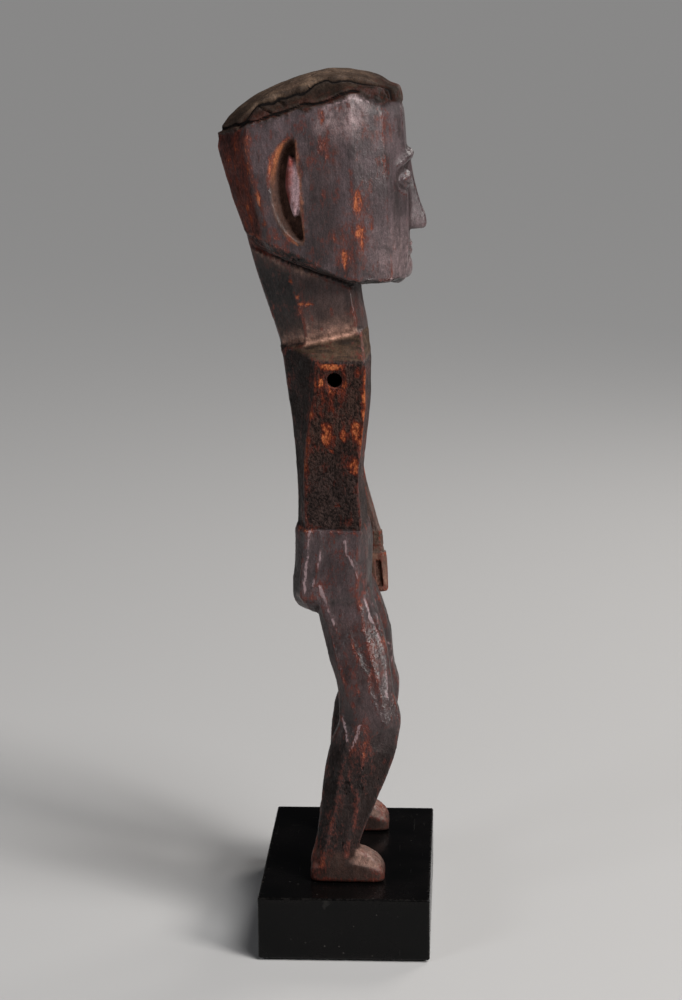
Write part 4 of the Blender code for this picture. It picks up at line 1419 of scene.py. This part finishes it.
def makeFigure():
    print("figure: shells")
    headPiece = makeObject("head", headSkin())
    for side in (1, -1):
        cutAway(headPiece, earHollowSkin(side))
    skins = [trunkSkin(torso), trunkSkin(hips), trunkSkin(neck)]
    skins += [noseSkin(), lipSkin(1), lipSkin(-1), chinSkin()]
    for side in (1, -1):
        skins += [legSkin(side), footSkin(side), browSkin(side), lidSkin(side), earRidgeSkin(side)]
    headFaces = [list(polygon.vertices) for polygon in headPiece.data.polygons]
    skins.append((readPoints(headPiece), headFaces))
    figure = makeObject("figureBody", joined(skins))
    bpy.data.objects.remove(headPiece)
    print("figure: fused and carved")
    fuse(figure, 0.92)
    smoothed(figure, 3)
    carveFigure(figure)
    roundMouth(figure)
    print("figure: bores", len(figure.data.polygons), "faces")
    cutBores(figure)
    print("figure: patina")
    paintFigure(figure)
    finishWood(figure, "figure", "carved_figure", "dark_carved_wood")


# Left arm, its peg, and the hand

arm = {
    # height, middle y, half-depth, inner x, outer x
    "stations": [
        (244.4, 4.0, 3.0, 26.7, 33.4),
        (241.6, 4.0, 6.0, 26.7, 34.2),
        (237.0, 4.0, 7.4, 26.7, 34.6),
        (231.0, 3.8, 7.2, 26.7, 34.6),
        (222.0, 3.0, 6.2, 26.8, 34.8),
        (206.0, 1.2, 5.6, 27.0, 35.2),
        (190.0, -1.4, 4.8, 27.4, 35.2),
        (174.0, -5.4, 3.7, 28.1, 34.8),
        (160.0, -10.0, 2.9, 28.9, 34.4),
        (154.6, -12.0, 2.5, 29.2, 34.2),
        (153.4, -12.2, 3.2, 28.7, 35.0),
        (148.0, -12.6, 3.1, 28.9, 34.8),
        (143.8, -12.8, 3.3, 28.7, 35.0),
        (142.6, -12.4, 4.8, 28.3, 35.8),
        (133.0, -12.5, 5.4, 28.3, 36.2),
        (124.0, -12.8, 5.4, 28.5, 36.0),
        (122.7, -12.8, 4.6, 29.3, 35.2),
    ],
    "cell": 0.5,
    "facetSize": (6.0, 6.0, 17.0),
    "facetDepth": 0.26,
    "cuffRings": (153.9, 151.2, 145.6, 143.2),
    "fingerGaps": (-15.6, -12.7, -9.9),
    "fingerDepth": 0.6,
    "pivot": (4.0, 237.0),
    "holeRadius": 3.4,
    # the recess in the flat of the hand: (y, height) corners, and the x of its rings
    "slot": [(-15.9, 125.4), (-12.9, 125.4), (-12.0, 138.8), (-14.6, 138.8)],
    "slotRings": (26.0, 27.5, 28.6, 29.5),
    "skin": tone(60, 42, 38), "forearm": tone(74, 58, 52), "cuff": tone(88, 72, 62),
    "hand": tone(112, 82, 68), "fill": tone(72, 46, 36),
}
peg = {
    "sides": 60, "facets": 11, "facetDepth": 0.14, "shank": 3.05, "head": 4.75, "headThick": 2.4,
    "colour": tone(78, 52, 40),
}


def armSkin():
    # an eight-sided section, flat towards the body
    rings = []
    for height, y, half, inner, outer in arm["stations"]:
        outline = [(inner, y - half * 0.6), (inner + 1.6, y - half), (outer - 2.0, y - half)]
        outline += [(outer, y - half * 0.45), (outer, y + half * 0.45), (outer - 2.0, y + half)]
        outline += [(inner + 1.6, y + half), (inner, y + half * 0.6)]
        rings.append([(x, v, height) for x, v in outline])
    return closedSkin(facetGrid(rings))


def carveArm(obj):
    # knife facets, four rings round the wrist, and three shallow cuts across the flat of the hand
    points, normals = readPoints(obj), readNormals(obj)
    border, owner = cells(points, arm["facetSize"], 131)
    push = -arm["facetDepth"] * np.clip(border / 0.5, 0, 1) ** 0.8 + 0.16 * (owner - 0.5)
    push += noise(points, (4.0, 4.0, 10.0), 132) * 0.12 + noise(points, 1.3, 133) * 0.05
    cuffLines = np.min([np.abs(points[:, 2] - height) for height in arm["cuffRings"]], axis=0)
    push -= step(cuffLines, 0.7, 0.1) * 0.3
    gaps = np.min([np.abs(points[:, 1] - gap) for gap in arm["fingerGaps"]], axis=0)
    fingers = step(gaps, 0.8, 0.1) * step(points[:, 2], 135.0, 131.0) * step(points[:, 0], 33.0, 34.0)
    push -= fingers * arm["fingerDepth"]
    faceIn = step(normals[:, 0], -0.5, -0.9)
    writePoints(obj, points + normals * (push * (1 - 0.7 * faceIn))[:, None])


def paintArm(obj):
    points, normals, edges = readPoints(obj), readNormals(obj), readEdges(obj)
    z = points[:, 2]
    arris = step(standOut(points, normals, edges, 5), 0.04, 0.14)
    low = step(standOut(points, normals, edges, 10), -0.06, -0.25)
    blotch, speck = roughNoise(points, 7.0, 141), roughNoise(points, 1.4, 142)
    hand = step(z, 143.0, 142.2)
    cuff = between(z, 143.0, 153.9, 0.3)
    layers = [
        (step(z, 200.0, 165.0), "forearm"),
        (cuff * (0.8 + 0.3 * speck), "cuff"),
        (hand * (0.9 + 0.2 * blotch), "hand"),
        (low * 0.8, "fill"),
    ]
    setColour(obj, "patina", layered(points, "skin", layers, arm))
    setFloat(obj, "cracks", low * step(speck, 0.1, 0.6) * 0.8)
    # pale arrises, worn and with painted highlights
    setFloat(obj, "pale", 0.4 * arris)
    setFloat(obj, "raw", 0.30 + 0.14 * blotch + 0.16 * arris + 0.05 * hand + 0.03 * cuff)
    setFloat(obj, "crust", 0.25 + 0.4 * low - 0.1 * hand)
    setFloat(obj, "gloss", 0.45 + 0.2 * arris + 0.1 * blotch - 0.2 * cuff)


def makeArm():
    print("left arm")
    obj = makeObject("leftArm", armSkin())
    slot = [[(x, y, z) for y, z in arm["slot"]] for x in arm["slotRings"]]
    cutAway(obj, closedSkin(facetGrid(slot, 2, 2)))
    fuse(obj, arm["cell"])
    smoothed(obj, 3)
    carveArm(obj)
    heights = np.linspace(24.0, 38.0, 6)
    hole = turned([(h, arm["holeRadius"]) for h in heights], 40, "x", arm["pivot"])
    cutAway(obj, closedSkin(hole))
    paintArm(obj)
    finishWood(obj, "arm", "left_arm", "arm_wood")


def finishWood(obj, body, replaced, slotName):
    obj.data.shade_smooth()
    obj.data.materials.clear()
    obj.data.materials.append(carvedWoodMaterial(slotName, woodLook))
    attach(obj, body)
    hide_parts(replaced)


def makePeg():
    # a whittled peg: turned about the pivot, with long flats cut round it and a low domed head
    print("shoulder peg")
    low, high = (corner.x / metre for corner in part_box("left_shoulder_peg"))
    neckAt = high - peg["headThick"]
    shank, headRadius = peg["shank"], peg["head"]
    profile = [(low, 0.6), (low, shank - 0.7), (low + 0.5, shank - 0.2)]
    profile += [(at, shank) for at in np.linspace(low + 1.4, neckAt, 12)]
    dome = np.linspace(0, math.pi / 2, 8)
    profile += [(neckAt, headRadius - 0.3), (neckAt + 0.3, headRadius)]
    profile += [(high - 1.0 + math.sin(a), headRadius - 1.4 + 1.3 * math.cos(a)) for a in dome]
    profile += [(high + 0.02, 1.6), (high, 0.5)]
    grid = turned(profile, peg["sides"], "x", arm["pivot"])
    turn = np.arange(peg["sides"]) * peg["facets"] / peg["sides"] % 1.0
    flat = 1 - peg["facetDepth"] / 3 * (1 - (2 * turn - 1) ** 2)
    middle = np.array(arm["pivot"])
    grid[..., 1:] = middle + (grid[..., 1:] - middle) * flat[None, :, None]
    obj = makeObject("shoulderPeg", closedSkin(grid))
    points = readPoints(obj)
    rub = step(points[:, 0], high - 1.6, high - 0.4)
    speck = roughNoise(points, 1.2, 152)
    colours = np.tile(peg["colour"], (len(points), 1)) * (1 + 0.2 * speck[:, None])
    setColour(obj, "patina", np.clip(colours, 0, 1))
    setFloat(obj, "cracks", step(roughNoise(points, (4.0, 0.6, 0.6), 153), 0.45, 0.7) * 0.85)
    setFloat(obj, "pale", 0.3 * rub)
    setFloat(obj, "raw", 0.36 + 0.12 * rub + 0.1 * speck)
    setFloat(obj, "crust", np.full(len(points), 0.2))
    setFloat(obj, "gloss", 0.4 + 0.3 * rub)
    finishWood(obj, "figure", "left_shoulder_peg", "peg_wood")
    obj.data.set_sharp_from_angle(angle=math.radians(50))


# Display block, felt and mounting pins

block = {
    "cornerRadius": 1.2, "edgeRadius": 0.9, "chipDepth": 0.45, "pinHole": 2.3, "pinHoleDepth": 11.3,
    "bite": (0.78, 0.98), "paintedBite": (0.82, 0.92), "specular": 0.16,
    "lacquer": colour4(5, 5, 5), "cloudy": colour4(8, 7, 7), "wornEdge": colour4(38, 34, 32),
    "scratch": colour4(52, 50, 48), "dust": colour4(92, 88, 84), "chip": colour4(88, 78, 68),
}
felt = {
    "cornerRadius": 3.0, "edgeRadius": 0.3, "flat": (0.117, 0.077), "sheen": 0.3,
    "dark": colour4(16, 16, 17), "light": colour4(46, 45, 46), "cloud": colour4(28, 27, 28),
}
pin = {"chamfer": 0.5, "sides": 48, "steel": colour4(176, 176, 178), "tarnish": colour4(120, 110, 100)}


def roundedOutline(halfLength, halfDepth, radius, perSide):
    # points and outward directions round a rectangle with quarter-circle corners
    turn = np.linspace(0, math.pi / 2, 7)
    outline, outward = [], []
    for quarter, (sx, sy) in enumerate(((1, 1), (-1, 1), (-1, -1), (1, -1))):
        angle = turn + quarter * math.pi / 2
        direction = np.stack([np.cos(angle), np.sin(angle)], axis=1)
        centre = np.array([sx * (halfLength - radius), sy * (halfDepth - radius)])
        arc = centre + radius * direction
        following = ((-1, 1), (-1, -1), (1, -1), (1, 1))[quarter]
        ahead = np.array([following[0] * (halfLength - radius), following[1] * (halfDepth - radius)])
        ahead = ahead + radius * direction[-1]
        share = (np.arange(1, perSide) / perSide)[:, None]
        outline += [arc, arc[-1] * (1 - share) + ahead * share]
        outward += [direction, np.repeat(direction[-1:], perSide - 1, axis=0)]
    return np.concatenate(outline), np.concatenate(outward)


def slabGrid(low, high, cornerRadius, edgeRadius, perSide=70):
    # the outline carried from the middle of the underside, round both edges, to the middle of the top
    half = (high - low) / 2
    middle = (high + low) / 2
    outline, outward = roundedOutline(half[0], half[1], cornerRadius, perSide)
    turn = np.linspace(0, math.pi / 2, 6)
    inset = np.concatenate([edgeRadius * (1 - np.sin(turn)), np.zeros(10), edgeRadius * (1 - np.cos(turn))])
    height = np.concatenate([low[2] + edgeRadius * (1 - np.cos(turn)),
                             np.linspace(low[2] + edgeRadius, high[2] - edgeRadius, 12)[1:-1],
                             high[2] - edgeRadius * (1 - np.sin(turn))])
    side = outline - outward * inset[:, None, None]
    shares = np.array([0.04, 0.2, 0.4, 0.6, 0.8, 0.93, 0.985])[:, None, None]
    under, over = side[0] * shares, side[-1] * shares[::-1]
    flat = np.concatenate([under, side, over]) + middle[:2]
    rise = np.concatenate([np.full(len(shares), low[2]), height, np.full(len(shares), high[2])])
    rise = np.broadcast_to(rise[:, None, None], flat.shape[:2] + (1,))
    return np.concatenate([flat, rise], axis=2)


def boxInMillimetres(name):
    low, high = (np.array(corner) / metre - (0, 0, soleHeight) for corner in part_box(name))
    return low, high


def blockWear(points, low, high, bite):
    # how near a point is to an arris, and where the arris is bitten away
    nearness = np.sort((high - low) / 2 - np.abs(points - (high + low) / 2), axis=1)[:, 1]
    edge = step(nearness, 1.6, 0.5)
    rough = noise(points, (3.4, 2.6, 2.2), 161) + 0.35 * noise(points, 1.1, 162)
    return edge, edge * step(rough, *bite)


def makeBlock():
    print("display block")
    low, high = boxInMillimetres("display_block")
    grid = slabGrid(low, high, block["cornerRadius"], block["edgeRadius"], 110)
    obj = makeObject("displayBlock", closedSkin(grid))
    points, normals = readPoints(obj), readNormals(obj)
    _, chips = blockWear(points, low, high, block["bite"])
    chips *= step(points[:, 2], low[2], low[2] + 4.0)
    writePoints(obj, points - normals * (chips * block["chipDepth"])[:, None])
    holes = []
    for side in (1, -1):
        x, y = bores["sole"]
        depth = np.linspace(high[2] - block["pinHoleDepth"], high[2] + 3.0, 5)
        holes.append(closedSkin(turned([(z, block["pinHole"]) for z in depth], 36, "z", (side * x, y))))
    cutAway(obj, joined(holes))
    edge, chips = blockWear(readPoints(obj), low, high, block["paintedBite"])
    setFloat(obj, "chips", chips)
    setFloat(obj, "edge", edge)
    obj.data.shade_smooth()
    obj.data.set_sharp_from_angle(angle=math.radians(48))
    obj.data.materials.clear()
    obj.data.materials.append(lacquerMaterial())
    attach(obj, "stand")
    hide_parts("display_block")


def lacquerMaterial():
    # black satin lacquer with faint cloudy wear, hairline scratches, dust and pale chips
    material, tree, shader = newMaterial("blackLacquer")
    cloud = grainNoise(tree, (38.0, 38.0, 38.0), 5.0)
    hair = grainNoise(tree, (35.0, 1900.0, 300.0), 3.0, 0.6)
    hairDown = grainNoise(tree, (2200.0, 60.0, 45.0), 3.0, 0.8)
    peel = grainNoise(tree, (600.0, 600.0, 600.0), 2.0)
    scratch = calc(tree, "MAXIMUM", span(tree, hair, 0.70, 0.76), span(tree, hairDown, 0.71, 0.77))
    place = stretched(tree, (210.0, 210.0, 210.0))
    dots = node(tree, "TexVoronoi", {"Vector": place, "Scale": 1.0}, feature="F1").outputs["Distance"]
    dust = times(tree, span(tree, dots, 0.10, 0.04), span(tree, cloud, 0.45, 0.62))
    chips, edge = attribute(tree, "chips"), attribute(tree, "edge")
    worn = times(tree, edge, span(tree, peel, 0.42, 0.62))
    colour = blended(tree, span(tree, cloud, 0.35, 0.65), block["lacquer"], block["cloudy"])
    colour = blended(tree, times(tree, worn, 0.2), colour, block["wornEdge"])
    colour = blended(tree, times(tree, scratch, 0.35), colour, block["scratch"])
    colour = blended(tree, times(tree, dust, 0.5), colour, block["dust"])
    colour = blended(tree, chips, colour, block["chip"])
    tree.links.new(colour, shader.inputs["Base Color"])
    rough = span(tree, cloud, 0.3, 0.7, 0.17, 0.30)
    rough = plus(tree, rough, times(tree, calc(tree, "MAXIMUM", scratch, times(tree, worn, 0.4)), 0.22))
    rough = plus(tree, rough, times(tree, chips, 0.5), True)
    tree.links.new(rough, shader.inputs["Roughness"])
    shader.inputs["Specular IOR Level"].default_value = block["specular"]
    relief = calc(tree, "SUBTRACT", times(tree, peel, 0.25), times(tree, scratch, 0.3))
    relief = node(tree, "Bump", {"Height": relief, "Strength": 0.25, "Distance": 0.0002})
    tree.links.new(relief.outputs[0], shader.inputs["Normal"])
    return material


def makeFelt():
    # a thin pad with soft rounded edges, glued under the block
    print("felt")
    low, high = boxInMillimetres("base_felt")
    grid = slabGrid(low, high, felt["cornerRadius"], felt["edgeRadius"], 50)
    obj = makeObject("baseFelt", closedSkin(grid))
    points, normals = readPoints(obj), readNormals(obj)
    rim = step(np.abs(normals[:, 2]), 0.7, 0.2)
    writePoints(obj, points + normals * (rim * noise(points, (2.5, 2.5, 1.0), 171) * 0.12)[:, None])
    obj.data.shade_smooth()
    material, tree, shader = newMaterial("blackFelt")
    fibres = grainNoise(tree, (1500.0, 900.0, 1500.0), 6.0, 1.6)
    cloud = grainNoise(tree, (90.0, 90.0, 90.0), 3.0)
    colour = blended(tree, span(tree, fibres, 0.35, 0.68), felt["dark"], felt["light"])
    colour = blended(tree, times(tree, cloud, 0.4), colour, felt["cloud"])
    tree.links.new(colour, shader.inputs["Base Color"])
    tree.links.new(span(tree, fibres, 0.3, 0.7, 0.98, 0.86), shader.inputs["Roughness"])
    shader.inputs["Sheen Weight"].default_value = felt["sheen"]
    relief = node(tree, "Bump", {"Height": fibres, "Strength": 0.8, "Distance": 0.0004})
    tree.links.new(relief.outputs[0], shader.inputs["Normal"])
    obj.data.materials.append(material)
    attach(obj, "stand")
    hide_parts("base_felt")


def makePins():
    # steel rods with chamfered ends and fine turning rings
    print("mounting pins")
    steel = steelMaterial()
    for label, name in (("Left", "mounting_pin_left"), ("Right", "mounting_pin_right")):
        low, high = boxInMillimetres(name)
        middle = (low + high) / 2
        radius, cut = (high[0] - low[0]) / 2, pin["chamfer"]
        length = np.linspace(low[2] + cut, high[2] - cut, 90)
        rings = radius - 0.02 * (1 + np.sin(length * 9.0)) / 2
        profile = [(low[2], 0.4), (low[2], radius - cut)] + list(zip(length, rings))
        profile += [(high[2], radius - cut), (high[2], 0.4)]
        obj = makeObject("mountingPin" + label, closedSkin(turned(profile, pin["sides"], "z", middle[:2])))
        obj.data.shade_smooth()
        obj.data.set_sharp_from_angle(angle=math.radians(30))
        obj.data.materials.append(steel)
        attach(obj, "stand")
        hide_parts(name)


def steelMaterial():
    # brushed round, slightly tarnished
    material, tree, shader = newMaterial("steel")
    brushed = grainNoise(tree, (250.0, 250.0, 5200.0), 3.0)
    tarnish = grainNoise(tree, (420.0, 420.0, 260.0), 6.0, 0.5)
    colour = blended(tree, span(tree, tarnish, 0.42, 0.7), pin["steel"], pin["tarnish"])
    tree.links.new(colour, shader.inputs["Base Color"])
    rough = plus(tree, span(tree, tarnish, 0.4, 0.7, 0.24, 0.5), times(tree, brushed, 0.12))
    tree.links.new(rough, shader.inputs["Roughness"])
    shader.inputs["Metallic"].default_value = 1.0
    relief = node(tree, "Bump", {"Height": brushed, "Strength": 0.4, "Distance": 0.0001})
    tree.links.new(relief.outputs[0], shader.inputs["Normal"])
    return material


makeCamera()
makeStudio()
makeBlock()
makeFelt()
makePins()
makeFigure()
makeArm()
makePeg()
